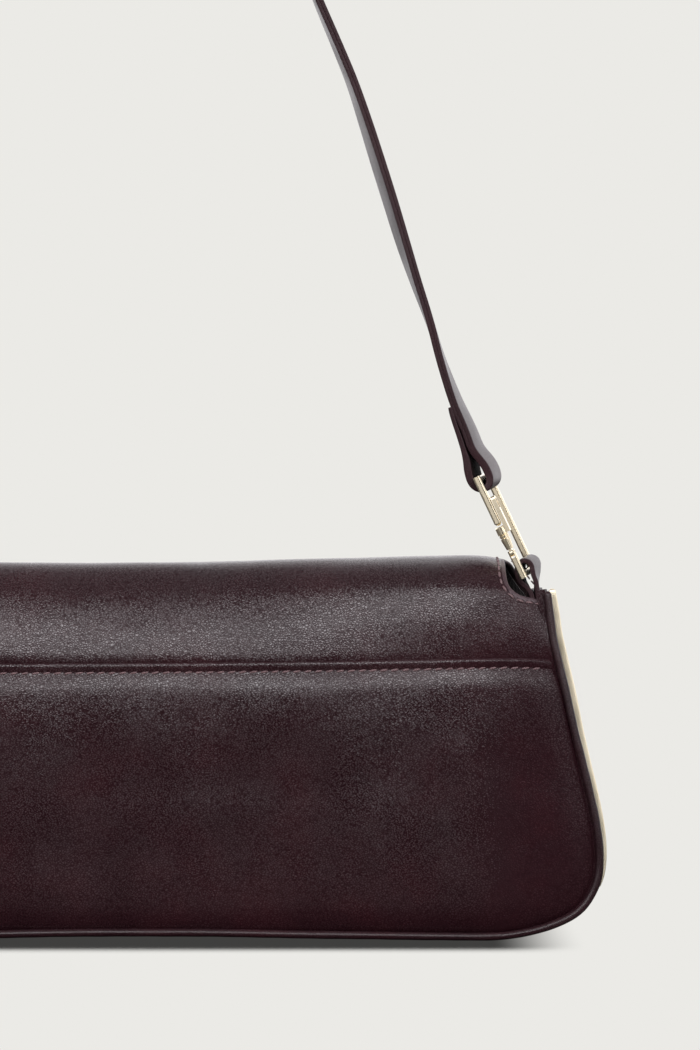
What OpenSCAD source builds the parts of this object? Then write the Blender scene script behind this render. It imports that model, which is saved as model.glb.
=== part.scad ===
// Baguette shoulder bag with a fold-over flap, a back slip pocket, piped
// seams, gold side bars and a strap held by two sprung rings.
// Frame: millimetres, +Z up, origin on the floor under the middle of the
// base. The back of the bag, with the slip pocket, faces -Y; the flap
// closes on the +Y side. X runs along the length of the bag.

/* [Body] */
// Widest distance between the two side seams
body_w = 312.4; // [302:0.2:320]
// Depth of the bag at the base, from back face to front face
body_d = 56; // [54:0.5:60]
// Thickness of the leather shell
leather_t = 1.4; // [1.2:0.1:1.4]
// Thickness of the lining cloth
lining_t = 0.6; // [0.4:0.1:0.6]
// Diameter of the corded piping in the seams
piping_d = 2.9; // [2.5:0.1:2.9]
// Thickness of the stiffening board in the base
board_t = 1.8; // [1.2:0.1:1.8]

/* [Back pocket] */
// Height of the lip of the back pocket above the floor
pocket_z = 95.6; // [88:0.2:95.8]
// Free width inside the back pocket, front to back
pocket_gap = 4.6; // [4.4:0.1:4.6]

/* [Flap] */
// Height of the folded top edge above the floor
top_z = 131.3; // [130:0.1:132]
// Half of the flap's width where it folds over at the back
fold_half_w = 122.6; // [118:0.2:123]
// Half of the flap's width at its narrowest, between the strap rings
waist_half_w = 120.6; // [116:0.2:121]
// Height of the flap's lower edge above the floor
flap_low_z = 36; // [30:1:44]

/* [Strap] */
// Width of the strap
strap_w = 17.4; // [15:0.1:17.6]
// Thickness of the strap, both layers together
strap_t = 2.7; // [2.4:0.1:2.8]
// Height of the top of the strap's arch above the floor
strap_top_z = 373; // [363:1:393]
// Width of the leather tabs that hold the rings
tab_w = 15; // [12:0.5:15.5]
// Thickness of the leather of the tabs
tab_t = 1.7; // [1.5:0.1:1.7]
// Thickness of the loops at the strap's ends
loop_t = 2.2; // [1.9:0.1:2.2]

/* [Rings] */
// Distance between the centres of a ring's two cross bars
ring_len = 36.3; // [35:0.1:37]
// Distance between the centres of a ring's two long sides
ring_span = 21.2; // [20.8:0.1:21.6]
// Thickness of the ring's bars
ring_bar_d = 2.7; // [2.5:0.1:2.7]
// Diameter of the gate's pivot pin
pin_d = 0.9; // [0.8:0.05:0.9]
// Turn of a ring about its long axis, outer face towards the back
ring_turn = 12.7; // [11:0.1:14]
// Lean of a ring towards the middle of the bag
ring_lean = 25.3; // [24.5:0.1:26]

/* [Side bars] */
// Width of a side bar, front to back
bar_w = 8; // [6:0.5:10]
// Thickness of a side bar
bar_t = 2.2; // [1.8:0.1:2.4]

/* [Magnetic snap] */
// Radius of the snap's two discs
snap_r = 8; // [7:0.5:9]
// Height of the snap's centre above the floor
snap_z = 56; // [52:1:60]

/* [Hidden] */
$fn = 48;

leather = "#33191f";
leather_dark = "#281217";
cloth = "#5b4a45";
gold = "#cdbf94";
steel = "#b9bcc0";
board = "#8a7460";

hw = body_w / 2;
yb = -body_d / 2;            // back face of the pocket panel
yf = body_d / 2;             // front face of the front panel at the floor
lean = 2.2;                  // the front panel leans in by this angle
yp = yb + leather_t + pocket_gap;   // outer face of the wall behind the pocket
hinge_z = 121;               // height of the flap's two fold lines
flap_y = 29.9;               // outer face of the hanging flap
gap = 0.05;

// Half outline of the side and bottom seam, from the middle of the base
// outwards and up, as [part of the half width, height]
seam = [[0, 3.6], [0.372, 3.2], [0.628, 2.95], [0.757, 3.0], [0.82, 3.6],
  [0.874, 5.2], [0.946, 9.9], [0.987, 17.6], [1.0, 27], [0.9965, 38],
  [0.984, 48], [0.9655, 60.5], [0.944, 74], [0.925, 86.5], [0.909, 96.3],
  [0.8975, 106], [0.8903, 114], [0.884, 121]];

// Half outline of the hanging flap, from the middle of its lower edge
flap_edge = [[0, 0], [70, 0.4], [106, 2.4], [126, 7.5], [137.5, 16.5],
  [142.8, 28], [142.9, 40], [140.6, 52], [138.2, 63], [136.6, 72],
  [135.4, 78], [133.4, 81.6], [131, 83.4], [129.6, 84.7]];

// Centre line of the strap's right half from its end up to the arch, as
// [distance from the middle, height, turn about the vertical]
strap_pts = [[118.0, 167.4, 12.7], [116.3, 171, 12.4], [114.0, 175.8, 11.8],
  [111.6, 180.8, 10.8], [108.6, 187, 9.3], [103.5, 201, 4.5], [99.3, 215, 0.6],
  [94.4, 229, -3.3], [89.8, 243, -6.7], [85.5, 257, -7.7],
  [81.1, 271, -7.6], [76.7, 285, -6.2], [72.0, 299, -4],
  [66.3, 313, -2.6], [60.5, 326.7, -1.4]];

// Centre of the lower cross bar of the right ring
ring_at = [133.6, 0, 127.1];

// ---------------------------------------------------------------- functions
function clamp(v, a, b) = max(a, min(b, v));
function unit(v) = v / norm(v);
// Catmull-Rom point between p1 and p2
function cr(p0, p1, p2, p3, t) = 0.5 * (2 * p1 + (p2 - p0) * t
  + (2 * p0 - 5 * p1 + 4 * p2 - p3) * t * t
  + (3 * p1 - p0 - 3 * p2 + p3) * t * t * t);
function smooth(p, n) = concat([for (i = [0:len(p) - 2]) for (k = [0:n - 1])
  cr(p[max(i - 1, 0)], p[i], p[i + 1], p[min(i + 2, len(p) - 1)], k / n)],
  [p[len(p) - 1]]);
// Outward normal of a half outline that runs outwards and then up
function out2(p, i) = let (d = p[min(i + 1, len(p) - 1)] - p[max(i - 1, 0)])
  unit([d[1], -d[0]]);
function off2(p, d) = [for (i = [0:len(p) - 1])
  i == 0 && p[0][0] == 0 ? p[0] + [0, -d] : p[i] + out2(p, i) * d];
function rev(p) = [for (i = [len(p) - 1:-1:0]) p[i]];
function flip(p) = [for (q = p) [-q[0], q[1]]];
function both(p) = concat(p, [for (i = [len(p) - 1:-1:p[0][0] == 0 ? 1 : 0])
  [-p[i][0], p[i][1]]]);
// A ring of round section round each point of a path in a plane of constant
// or slowly changing y; nrm is the in-plane normal at each point
function tube_pts(path, nrm, r, n) = [for (i = [0:len(path) - 1])
  for (k = [0:n - 1]) let (a = 360 * k / n)
    path[i] + r * cos(a) * nrm[i] + r * sin(a) * [0, 1, 0]];
function strip_faces(m, n) = concat(
  [[for (k = [0:n - 1]) k]],
  [for (i = [0:m - 2]) for (k = [0:n - 1]) let (j = (k + 1) % n)
    each [[i * n + k, i * n + n + k, i * n + j],
      [i * n + j, i * n + n + k, i * n + n + j]]],
  [[for (k = [n - 1:-1:0]) (m - 1) * n + k]]);
// The same skin with the diagonals of its four-sided faces the other way
function strip_faces_b(m, n) = concat(
  [[for (k = [0:n - 1]) k]],
  [for (i = [0:m - 2]) for (k = [0:n - 1]) let (j = (k + 1) % n)
    each [[i * n + k, i * n + n + k, i * n + n + j],
      [i * n + k, i * n + n + j, i * n + j]]],
  [[for (k = [n - 1:-1:0]) (m - 1) * n + k]]);
// Corners of a flat ribbon round each station [x, z, turn]. The ribbon is
// turned about its own length by that angle, or, where lean_w is given,
// about a line that leans by it; its thickness runs from a to b, outwards.
function rib_tan(p, i) = let (d = p[min(i + 1, len(p) - 1)] - p[max(i - 1, 0)])
  unit([d[0], 0, d[1]]);
function rib_w(p, i, lean_w) = let (t = p[i][2],
  m = is_undef(lean_w) ? [rib_tan(p, i)[2], 0, -rib_tan(p, i)[0]]
    : [cos(lean_w), 0, sin(lean_w)])
  sin(t) * m + cos(t) * [0, 1, 0];
function rib_pts(p, w, a, b, lean_w) = [for (i = [0:len(p) - 1])
  let (c = [p[i][0], 0, p[i][1]], u = rib_w(p, i, lean_w),
    m = unit(cross(u, rib_tan(p, i))))
  each [c + u * w / 2 + m * a, c + u * w / 2 + m * b,
    c - u * w / 2 + m * b, c - u * w / 2 + m * a]];

// ------------------------------------------------------------ derived lists
seam_pts = smooth([for (q = seam) [q[0] * hw, q[1]]], 2);
// The gusset stands out from the seam: 3 mm at the base, 1.6 mm at the sides
function gus_d(q) = 3.0 - 1.4 * clamp((q[1] - 3) / 22, 0, 1);
first = [for (i = [0:len(seam_pts) - 1]) if (seam_pts[i][0] >= 0.755 * hw) i][0];
side_idx = [for (i = [first:len(seam_pts) - 1]) i];
gus_out = [for (i = side_idx) seam_pts[i]
  + out2(seam_pts, i) * gus_d(seam_pts[i])];
gus_in = [for (i = side_idx) seam_pts[i]
  + out2(seam_pts, i) * (gus_d(seam_pts[i]) - leather_t)];
base_x = gus_out[0][0];

arch_r = 64;
arch_c = strap_top_z - arch_r;
arch = [for (a = [33:9.5:147]) [arch_r * cos(a), arch_c + arch_r * sin(a), 0]];
strap_half = [for (q = strap_pts) [q[0], q[1], q[2]]];
strap_raise = strap_top_z - 373;
strap_right = [for (q = strap_half) [q[0],
  q[1] + strap_raise * clamp((q[1] - 187) / 139.7, 0, 1), q[2]]];
strap_path = concat(strap_right, arch,
  rev([for (q = strap_right) [-q[0], q[1], q[2]]]));

// ------------------------------------------------------------------ helpers
module flat_xz(y0, y1) { // a flat outline in x and z, from y0 to y1
  translate([0, y1, 0]) rotate([90, 0, 0]) linear_extrude(y1 - y0) children();
}
module front_plane(w0, w1) { // on the leaning front, w outwards
  translate([0, yf, 0]) rotate([90 + lean, 0, 0])
    translate([0, 0, -w1]) linear_extrude(w1 - w0) children();
}
module side_cut() { // depth of the gusset, seen from the side
  rotate([90, 0, 90]) linear_extrude(400, center = true) polygon([
    [yb + leather_t + 0.3, -1], [yb + leather_t + 0.3, 90], [yp + 0.2, 104],
    [yp + 0.2, 121], [22, 121], [22, 111], [yf - leather_t - 0.3, -1]]);
}
module lining_cut() {
  rotate([90, 0, 90]) linear_extrude(400, center = true) polygon([
    [yp + leather_t + lining_t + 0.2, -1], [yp + leather_t + lining_t + 0.2, 110],
    [20.2, 110], [yf - leather_t - lining_t - 0.5, -1]]);
}
module below(z) { translate([-300, -50]) square([600, z + 50]); }
module above(z) { translate([-300, z]) square([600, 300]); }

// ------------------------------------------------------------- leather body
module back_pocket_panel() color(leather)
  flat_xz(yb, yb + leather_t) intersection() {
    polygon(both(seam_pts)); below(pocket_z);
  }
module back_panel() color(leather_dark)
  flat_xz(yp, yp + leather_t) intersection() {
    polygon(both(off2(seam_pts, -0.1))); below(96);
  }
module upper_back_panel() color(leather)
  intersection() {
    flat_xz(yp, yp + leather_t) intersection() {
      polygon(both(off2(seam_pts, -0.1)));
      polygon(concat(
        [[-148, 96.2], [148, 96.2], [148, 116.4], [138, 116.5], [133.6, 117.0],
         [130, 118.0], [126.6, 119.4], [124.6, 120.7], [123, 122]],
        [[-123, 122], [-124.6, 120.7], [-126.6, 119.4], [-130, 118.0],
         [-133.6, 117.0], [-138, 116.5], [-148, 116.4]]));
    }
    rounded_end(yp + leather_t / 2, leather_t / 2);
  }
// A wall seen from the side whose top is rounded about the fold line at y
module rounded_end(y, r) {
  rotate([90, 0, 90]) linear_extrude(340, center = true) {
    translate([y - r, 0]) square([2 * r, hinge_z]);
    translate([y, hinge_z]) circle(r = r);
  }
}
module front_panel() color(leather)
  difference() {
    front_plane(-leather_t, 0) intersection() {
      polygon(both(seam_pts)); below(113);
    }
    translate([0, 0, snap_z]) rotate([-90, 0, 0])
      cylinder(r = snap_r + 0.1, h = 60);
  }
module base_panel() color(leather_dark)
  translate([-base_x + 0.1, yb + leather_t + 0.3, 0])
    cube([2 * base_x - 0.2, body_d - 2 * leather_t - 0.6, leather_t]);
module gusset(s) color(leather)
  difference() {
    intersection() {
      scale([s, 1, 1]) flat_xz(-40, 40) polygon(concat(gus_out, rev(gus_in)));
      side_cut();
    }
    for (y = [-12.8, 12.8]) {
      translate([0, y, 118.6]) rotate([0, 90, 0])
        cylinder(r = 7.3, h = 400, center = true);
      translate([-200, y - 7.3, 118.6]) cube([400, 14.6, 9]);
    }
    for (i = [18, 26]) rivet_at(s, i) cylinder(r = 1.25, h = 30, center = true);
  }
module gusset_left() gusset(-1);
module gusset_right() gusset(1);
module base_board() color(board)
  translate([-base_x + 2, yp + leather_t + 0.2, leather_t + gap])
    cube([2 * base_x - 4, 43.4, board_t]);

// Piping round the seam, from one top corner under the bag to the other
pipe_half = off2(seam_pts, piping_d / 2 + 0.03);
pipe_line = concat(rev(flip(pipe_half)), [for (i = [1:len(pipe_half) - 1]) pipe_half[i]]);
function pipe_nrm(i) = let (d = pipe_line[min(i + 1, len(pipe_line) - 1)]
  - pipe_line[max(i - 1, 0)], u = unit([d[1], -d[0]])) [u[0], 0, u[1]];
module piping(ys) color(leather_dark)
  polyhedron(points = tube_pts([for (i = [0:len(pipe_line) - 1])
      [pipe_line[i][0], ys[i], pipe_line[i][1]]],
    [for (i = [0:len(pipe_line) - 1]) pipe_nrm(i)], piping_d / 2, 8),
    faces = strip_faces(len(pipe_line), 8));
module piping_back() piping([for (q = pipe_line)
  yb - 0.45 + (pocket_gap + leather_t - 0.9) * clamp((q[1] - 90) / 15, 0, 1)]);
module piping_front() piping([for (q = pipe_line)
  yf + 0.45 - q[1] * tan(lean)]);

// ------------------------------------------------------------------- lining
module lining_back() color(cloth)
  flat_xz(yp + leather_t + 0.1, yp + leather_t + 0.1 + lining_t) intersection() {
    polygon(both(off2(seam_pts, -0.9))); below(118);
    union() { below(116); translate([-122, 0]) square([244, 130]); }
  }
module lining_front() color(cloth)
  difference() {
    front_plane(-leather_t - 0.1 - lining_t, -leather_t - 0.1) intersection() {
      polygon(both(off2(seam_pts, -1.6))); below(112);
    }
    translate([0, 0, snap_z]) rotate([-90, 0, 0])
      cylinder(r = snap_r + 1.6, h = 60);
  }
module lining_gusset() color(cloth)
  difference() {
    intersection() {
      flat_xz(-40, 40) difference() {
        polygon(both(off2(seam_pts, -0.8)));
        polygon(both(off2(seam_pts, -0.8 - lining_t)));
        above(109.5);
      }
      lining_cut();
    }
    translate([-200, -8, 94]) cube([400, 16, 40]);
  }
module inner_pocket() color(cloth)
  translate([-60, yp + leather_t + 0.1 + lining_t + gap, 34]) difference() {
    cube([120, 5.6, 60]);
    translate([1, -1, 1]) cube([118, 5.8, 60]);
  }

// ------------------------------------------------------------ magnetic snap
snap_y = yf - snap_z * tan(lean);   // face of the front panel at the snap
module snap_socket() color(gold)
  translate([0, snap_y - leather_t, snap_z]) rotate([-90, 0, 0]) difference() {
    cylinder(r = snap_r, h = leather_t + 1.2);
    translate([0, 0, leather_t + 0.2]) cylinder(r = 4.2, h = 5);
  }
module snap_socket_washer() color(steel)
  translate([0, snap_y - leather_t - 1.5, snap_z]) rotate([-90, 0, 0]) difference() {
    cylinder(r = snap_r + 1, h = 0.9);
    translate([0, 0, -1]) cylinder(r = 2.2, h = 5);
  }
stud_y = flap_y - leather_t - lining_t - gap;
module snap_stud() color(gold)
  translate([0, stud_y, snap_z]) rotate([90, 0, 0]) {
    translate([0, 0, -lining_t]) cylinder(r = snap_r - 0.3, h = lining_t + 0.5);
    cylinder(r1 = 2.8, r2 = 2.4, h = 1.0);
  }
module snap_stud_washer() color(steel)
  translate([0, flap_y - leather_t, snap_z]) rotate([-90, 0, 0])
    translate([0, 0, 0.1]) cylinder(r = 6, h = 0.6);

// --------------------------------------------------------------------- flap
// Side view of the folded top: back fold, crown and front fold
module fold_side(r0) { // r0 is the inset from the outer face
  intersection() {
    union() {
      translate([yp + 10, top_z - 10]) circle(r = 10 - r0);
      translate([yp + 10, top_z - 20]) square([flap_y - 11 - yp - 10, 20 - r0]);
      translate([flap_y - 11, top_z - 11]) circle(r = 11 - r0);
      translate([yp + r0, 100]) square([10, top_z - 110]);
      translate([flap_y - 11, 100]) square([11 - r0, top_z - 111]);
    }
    translate([-100, hinge_z + 1.7]) square([200, 60]);
  }
}
module fold_ends(a, b) { // round lower ends of the two walls
  for (y = [yp + (a + b) / 2, flap_y - (a + b) / 2])
    translate([y, hinge_z + 1.7]) circle(r = (b - a) / 2);
}
// The flap seen from above, with a notch for each ring
waist = smooth([[fold_half_w, yp - 1], [fold_half_w, yp + 2],
  [fold_half_w - 0.6, yp + 6], [waist_half_w, yp + 13],
  [waist_half_w, 2], [waist_half_w, 13], [121.4, 20], [123.6, 25],
  [127.6, 28.2], [129.2, flap_y + 1]], 2);
module flap_plan() {
  translate([0, 0, 90]) linear_extrude(60)
    polygon(concat(waist, rev(flip(waist))));
}
module flap_top() color(leather)
  intersection() {
    flap_plan();
    rotate([90, 0, 90]) linear_extrude(280, center = true) {
      difference() { fold_side(0); fold_side(leather_t); }
      fold_ends(0, leather_t);
    }
  }
module flap_top_lining() color(cloth)
  intersection() {
    flap_plan();
    rotate([90, 0, 90]) linear_extrude(236, center = true) {
      difference() {
        fold_side(leather_t + 0.3); fold_side(leather_t + 0.3 + lining_t);
      }
      fold_ends(leather_t + 0.3, leather_t + 0.3 + lining_t);
    }
  }
flap_out = [for (q = smooth(flap_edge, 2)) [q[0],
  flap_low_z + q[1] * (hinge_z + 0.8 - flap_low_z) / 84.7]];
module flap_front() color(leather)
  difference() {
    intersection() {
      flat_xz(flap_y - leather_t, flap_y) polygon(both(flap_out));
      rounded_end(flap_y - leather_t / 2, leather_t / 2);
    }
    translate([0, flap_y - leather_t - 1, snap_z]) rotate([-90, 0, 0])
      cylinder(r = 6.1, h = 1.8);
  }
module flap_front_lining() color(cloth)
  difference() {
    flat_xz(flap_y - leather_t - gap - lining_t, flap_y - leather_t - gap)
      intersection() { polygon(both(off2(flap_out, -1.2))); below(119.6); }
    translate([0, 0, snap_z]) rotate([-90, 0, 0]) cylinder(r = snap_r - 0.2, h = 60);
  }

// ---------------------------------------------------------------- side bars
// Runs children outwards along the side's normal at point i of the seam
module rivet_at(s, i) {
  p = seam_pts[i] + out2(seam_pts, i) * gus_d(seam_pts[i]);
  u = out2(seam_pts, i);
  scale([s, 1, 1]) translate([p[0], 0, p[1]])
    rotate([0, 90 - atan2(u[1], u[0]), 0]) children();
}
bar_idx = [for (i = [0:len(seam_pts) - 1])
  if (seam_pts[i][1] >= 17 && seam_pts[i][1] <= 119 && seam_pts[i][0] > 100) i];
bar_in = [for (i = bar_idx) seam_pts[i]
  + out2(seam_pts, i) * (gus_d(seam_pts[i]) + 0.15)];
bar_out = [for (i = bar_idx) seam_pts[i]
  + out2(seam_pts, i) * (gus_d(seam_pts[i]) + 0.15 + bar_t)];
module side_bar(s) color(gold)
  scale([s, 1, 1]) flat_xz(-bar_w / 2, bar_w / 2)
    polygon(concat(bar_in, [bar_in[len(bar_in) - 1] + [-0.1, 0.9],
      bar_out[len(bar_out) - 1] + [-0.7, 1.0]], rev(bar_out)));
module side_bar_left() side_bar(-1);
module side_bar_right() side_bar(1);
module bar_rivets(s) color(steel)
  for (i = [18, 26]) rivet_at(s, i) {
    translate([0, 0, -leather_t - 0.9]) cylinder(r = 3, h = 0.65);
    translate([0, 0, -leather_t - 0.4]) cylinder(r = 1.2, h = leather_t + 0.45);
  }
module bar_rivets_left() bar_rivets(-1);
module bar_rivets_right() bar_rivets(1);

// --------------------------------------------------------------------- tabs
// The sewn-in end of a tab, between the gusset and the lining
anc = [for (i = [0:len(seam_pts) - 1]) if (seam_pts[i][1] >= 96) i];
module tab_anchor(s) color(leather_dark)
  difference() {
    scale([s, 1, 1]) flat_xz(-tab_w / 2, tab_w / 2) intersection() {
      polygon(concat([for (i = anc) seam_pts[i] + out2(seam_pts, i) * -0.05],
        rev([for (i = anc) seam_pts[i] + out2(seam_pts, i) * -3.85])));
      below(120.6);
    }
    translate([0, 0, 121]) rotate([0, 90, 0])
      cylinder(r = tab_w / 2 + 1.2, h = 400, center = true);
  }
module tab_anchor_left() tab_anchor(-1);
module tab_anchor_right() tab_anchor(1);
// The loop, as stations [x, z, turn] along its centre line
tab_c = [133.8, 128.95];
tab_r = 2.65;
tab_loop = concat(
  [[133.7, 121.4, 0], [132.5, 122.7, 5], [131.4, 124.5, 10], [131.1, 126.6, 12.5]],
  [for (a = [180:-22.5:0]) [tab_c[0] + tab_r * cos(a), tab_c[1] + tab_r * sin(a),
    ring_turn]],
  [[136.6, 126.4, 10], [136.75, 124.4, 5], [136.8, 122.9, 1], [136.75, 121.4, 0]]);
module tab(s) color(leather)
  scale([s, 1, 1])
    polyhedron(points = rib_pts(tab_loop, tab_w, -tab_t / 2, tab_t / 2, ring_lean),
      faces = strip_faces(len(tab_loop), 4));
module tab_left() tab(-1);
module tab_right() tab(1);

// -------------------------------------------------------------------- rings
// Ring frame: local z runs up the ring, y across it, x out of its plane
module ring_place(s) {
  scale([s, 1, 1]) translate(ring_at) rotate([0, -ring_lean, 0])
    rotate([0, 0, -ring_turn]) children();
}
rr = ring_bar_d / 2;
rv = ring_span / 2;
piv_u = 8.4;      // height of the gate's pivot above the lower cross bar
tip_u = 18.9;     // lower tip of the fixed upper bar
module bar_v(u) translate([0, -rv, u]) rotate([-90, 0, 0]) cylinder(r = rr, h = ring_span);
// A long side of the ring: a rounded square section from u0 to u1
module bar_u(v, u0, u1) {
  a = rr - 0.1; c = 0.75;
  translate([0, v, u0]) linear_extrude(u1 - u0) {
    square([2 * a, 2 * (a - c)], center = true);
    square([2 * (a - c), 2 * a], center = true);
    for (i = [-1, 1]) for (k = [-1, 1]) translate([i * (a - c), k * (a - c)]) circle(r = c);
  }
}
module ring(s) color(gold)
  ring_place(s) difference() {
    union() {
      bar_v(0);
      bar_v(ring_len);
      bar_u(rv, -rr, ring_len + rr);
      bar_u(-rv, tip_u + 0.9, ring_len + rr);
      translate([0, -rv, tip_u + 1.25]) sphere(r = 1.25);
      bar_u(-rv, -rr, piv_u + 0.9);
    }
    translate([-0.65, -rv - 3, piv_u - 1.8]) cube([1.3, 6, 5]);
    translate([-3, -rv, piv_u]) rotate([0, 90, 0]) cylinder(r = pin_d / 2 + 0.02, h = 6);
  }
module ring_left() ring(-1);
module ring_right() ring(1);
module gate(s) color(gold)
  ring_place(s) translate([0, -rv, 0]) difference() {
    union() {
      // grooved body, turned
      translate([0, 0, 9.9]) rotate_extrude() polygon([[0, 0], [1.25, 0],
        [1.65, 3.4], [1.65, 4.2], [1.4, 4.3], [1.4, 4.6], [1.7, 4.7],
        [1.7, 5.2], [1.45, 5.3], [1.45, 5.5], [1.85, 5.7], [1.85, 8.2],
        [1.5, 8.6], [0, 8.6]]);
      // tongue in the fork
      translate([-0.55, 0, piv_u]) rotate([0, 90, 0]) cylinder(r = 1.2, h = 1.1);
      translate([-0.55, -1.1, piv_u]) cube([1.1, 2.2, 2.2]);
      // thumb lever beside the fixed bar
      translate([1.55, -1.2, 15.8]) cube([1.5, 2.4, 12.2]);
      translate([1.55, 0, 28]) rotate([0, 90, 0]) cylinder(r = 1.2, h = 1.5);
    }
    translate([-3, 0, piv_u]) rotate([0, 90, 0]) cylinder(r = pin_d / 2 + 0.05, h = 6);
    translate([0, 0, 10.9]) cylinder(r = 0.6, h = 2.7);
    translate([2.45, 0, 27.6]) rotate([0, 90, 0]) cylinder(r = 0.75, h = 2);
    translate([2.45, -0.75, 24.6]) cube([2, 1.5, 3]);
  }
module gate_left() gate(-1);
module gate_right() gate(1);
module gate_pin(s) color(steel)
  ring_place(s) translate([-1.2, -rv, piv_u]) rotate([0, 90, 0])
    cylinder(r = pin_d / 2, h = 2.4);
module gate_pin_left() gate_pin(-1);
module gate_pin_right() gate_pin(1);
module gate_spring(s) color(steel)
  ring_place(s) translate([0, -rv, 11]) difference() {
    cylinder(r = 0.55, h = 2.5);
    translate([0, 0, -1]) cylinder(r = 0.3, h = 5);
  }
module gate_spring_left() gate_spring(-1);
module gate_spring_right() gate_spring(1);

// -------------------------------------------------------------------- strap
module strap_inner() color(leather_dark) polyhedron(
  points = rib_pts(strap_path, strap_w, -strap_t / 2, -gap / 2),
  faces = strip_faces(len(strap_path), 4));
module strap_outer() color(leather) polyhedron(
  points = rib_pts(strap_path, strap_w, gap / 2, strap_t / 2),
  faces = strip_faces_b(len(strap_path), 4));
// End loop: from under the strap's end, round the cross bar and up the
// inner side, where it is sewn to the strap
top_bar = [ring_at[0] - ring_len * sin(ring_lean) + 0.3,
  ring_at[2] + ring_len * cos(ring_lean) + 0.2];
loop_r = rr + 0.8 + loop_t / 2;
leg_off = strap_t / 2 + loop_t / 2 + 0.1;
function on_side(i, d) = let (t = rib_tan(strap_right, i))
  [strap_right[i][0] + t[2] * d, strap_right[i][1] - t[0] * d, strap_right[i][2]];
end_loop = concat(
  [[118.3, 166.8, ring_turn], [119.6, 164, ring_turn]],
  [for (a = [25:-22.5:-155]) [top_bar[0] + loop_r * cos(a),
    top_bar[1] + loop_r * sin(a), ring_turn]],
  [[114.4, 161.6, ring_turn], [114.5, 165.2, ring_turn]],
  [on_side(1, -leg_off), on_side(2, -leg_off), on_side(3, -leg_off), on_side(4, -leg_off)]);
module strap_end(s) color(leather)
  scale([s, 1, 1])
    polyhedron(points = rib_pts(end_loop, strap_w, -loop_t / 2, loop_t / 2, ring_lean),
      faces = strip_faces(len(end_loop), 4));
module strap_end_left() strap_end(-1);
module strap_end_right() strap_end(1);

back_pocket_panel();
back_panel();
upper_back_panel();
front_panel();
base_panel();
gusset_left();
gusset_right();
base_board();
piping_back();
piping_front();
lining_back();
lining_front();
lining_gusset();
inner_pocket();
snap_socket();
snap_socket_washer();
flap_top();
flap_top_lining();
flap_front();
flap_front_lining();
snap_stud();
snap_stud_washer();
side_bar_left();
side_bar_right();
bar_rivets_left();
bar_rivets_right();
tab_anchor_left();
tab_anchor_right();
tab_left();
tab_right();
ring_left();
ring_right();
gate_left();
gate_right();
gate_pin_left();
gate_pin_right();
gate_spring_left();
gate_spring_right();
strap_outer();
strap_inner();
strap_end_left();
strap_end_right();
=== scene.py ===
import bpy
import bmesh
import math
import numpy as np
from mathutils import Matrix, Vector
from mathutils.geometry import delaunay_2d_cdt


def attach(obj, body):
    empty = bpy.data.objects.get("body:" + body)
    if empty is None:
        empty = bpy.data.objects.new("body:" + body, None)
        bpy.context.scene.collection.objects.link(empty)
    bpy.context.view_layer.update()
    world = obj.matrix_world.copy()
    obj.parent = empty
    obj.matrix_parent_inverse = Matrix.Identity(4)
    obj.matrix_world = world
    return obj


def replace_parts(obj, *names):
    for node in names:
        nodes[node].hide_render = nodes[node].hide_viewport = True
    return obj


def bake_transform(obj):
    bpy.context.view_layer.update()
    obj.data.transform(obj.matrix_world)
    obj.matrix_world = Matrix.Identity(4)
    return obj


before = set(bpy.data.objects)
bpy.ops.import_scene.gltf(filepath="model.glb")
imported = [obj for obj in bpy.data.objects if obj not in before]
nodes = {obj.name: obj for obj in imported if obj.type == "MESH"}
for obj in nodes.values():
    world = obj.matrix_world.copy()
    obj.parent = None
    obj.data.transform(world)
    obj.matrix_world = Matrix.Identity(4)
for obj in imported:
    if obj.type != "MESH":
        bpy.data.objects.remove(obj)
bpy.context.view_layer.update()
scene = bpy.context.scene

# All shapes below are worked out in millimetres in the shared frame and
# written to the meshes in metres.

# ---------------------------------------------------------------- small tools


def arr(p):
    return np.array(p, float)


def smoothstep(a, b, x):
    t = np.clip((np.asarray(x, float) - a) / (b - a), 0, 1)
    return t * t * (3 - 2 * t)


def gauss1(a, sigma):
    """Smooths rows of a along axis 0 by a gaussian; the ends run on straight."""
    if sigma <= 0:
        return a
    r = int(3 * sigma) + 1
    k = np.exp(-0.5 * (np.arange(-r, r + 1) / sigma) ** 2)
    k /= k.sum()
    one = a.ndim == 1
    a = a[:, None] if one else a
    n = np.arange(1, r + 1)[:, None]
    head = a[0] - (a[1] - a[0]) * n[::-1]
    tail = a[-1] + (a[-1] - a[-2]) * n
    b = np.vstack([head, a, tail])
    out = np.stack([np.convolve(b[:, i], k, "valid") for i in range(a.shape[1])], 1)
    return out[:, 0] if one else out


class Table:
    """A smooth function through a short table of values."""

    def __init__(self, pairs, sigma=2.0, step=0.5):
        x, y = zip(*pairs)
        self.x = np.arange(x[0] - 40, x[-1] + 40 + step, step)
        lo = (y[1] - y[0]) / (x[1] - x[0])
        hi = (y[-1] - y[-2]) / (x[-1] - x[-2])
        v = np.interp(self.x, x, y)
        v = np.where(self.x < x[0], y[0] + lo * (self.x - x[0]), v)
        v = np.where(self.x > x[-1], y[-1] + hi * (self.x - x[-1]), v)
        self.y = gauss1(v, sigma / step)

    def __call__(self, v):
        return np.interp(v, self.x, self.y)


def arclen(p):
    return np.concatenate([[0], np.cumsum(np.linalg.norm(np.diff(p, axis=0), axis=1))])


def resample(p, step, closed=False):
    p = arr(p)
    if closed:
        p = np.vstack([p, p[:1]])
    s = arclen(p)
    n = max(2, int(round(s[-1] / step)) + 1)
    t = np.linspace(0, s[-1], n)
    out = np.stack([np.interp(t, s, p[:, i]) for i in range(p.shape[1])], 1)
    return out[:-1] if closed else out


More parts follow.
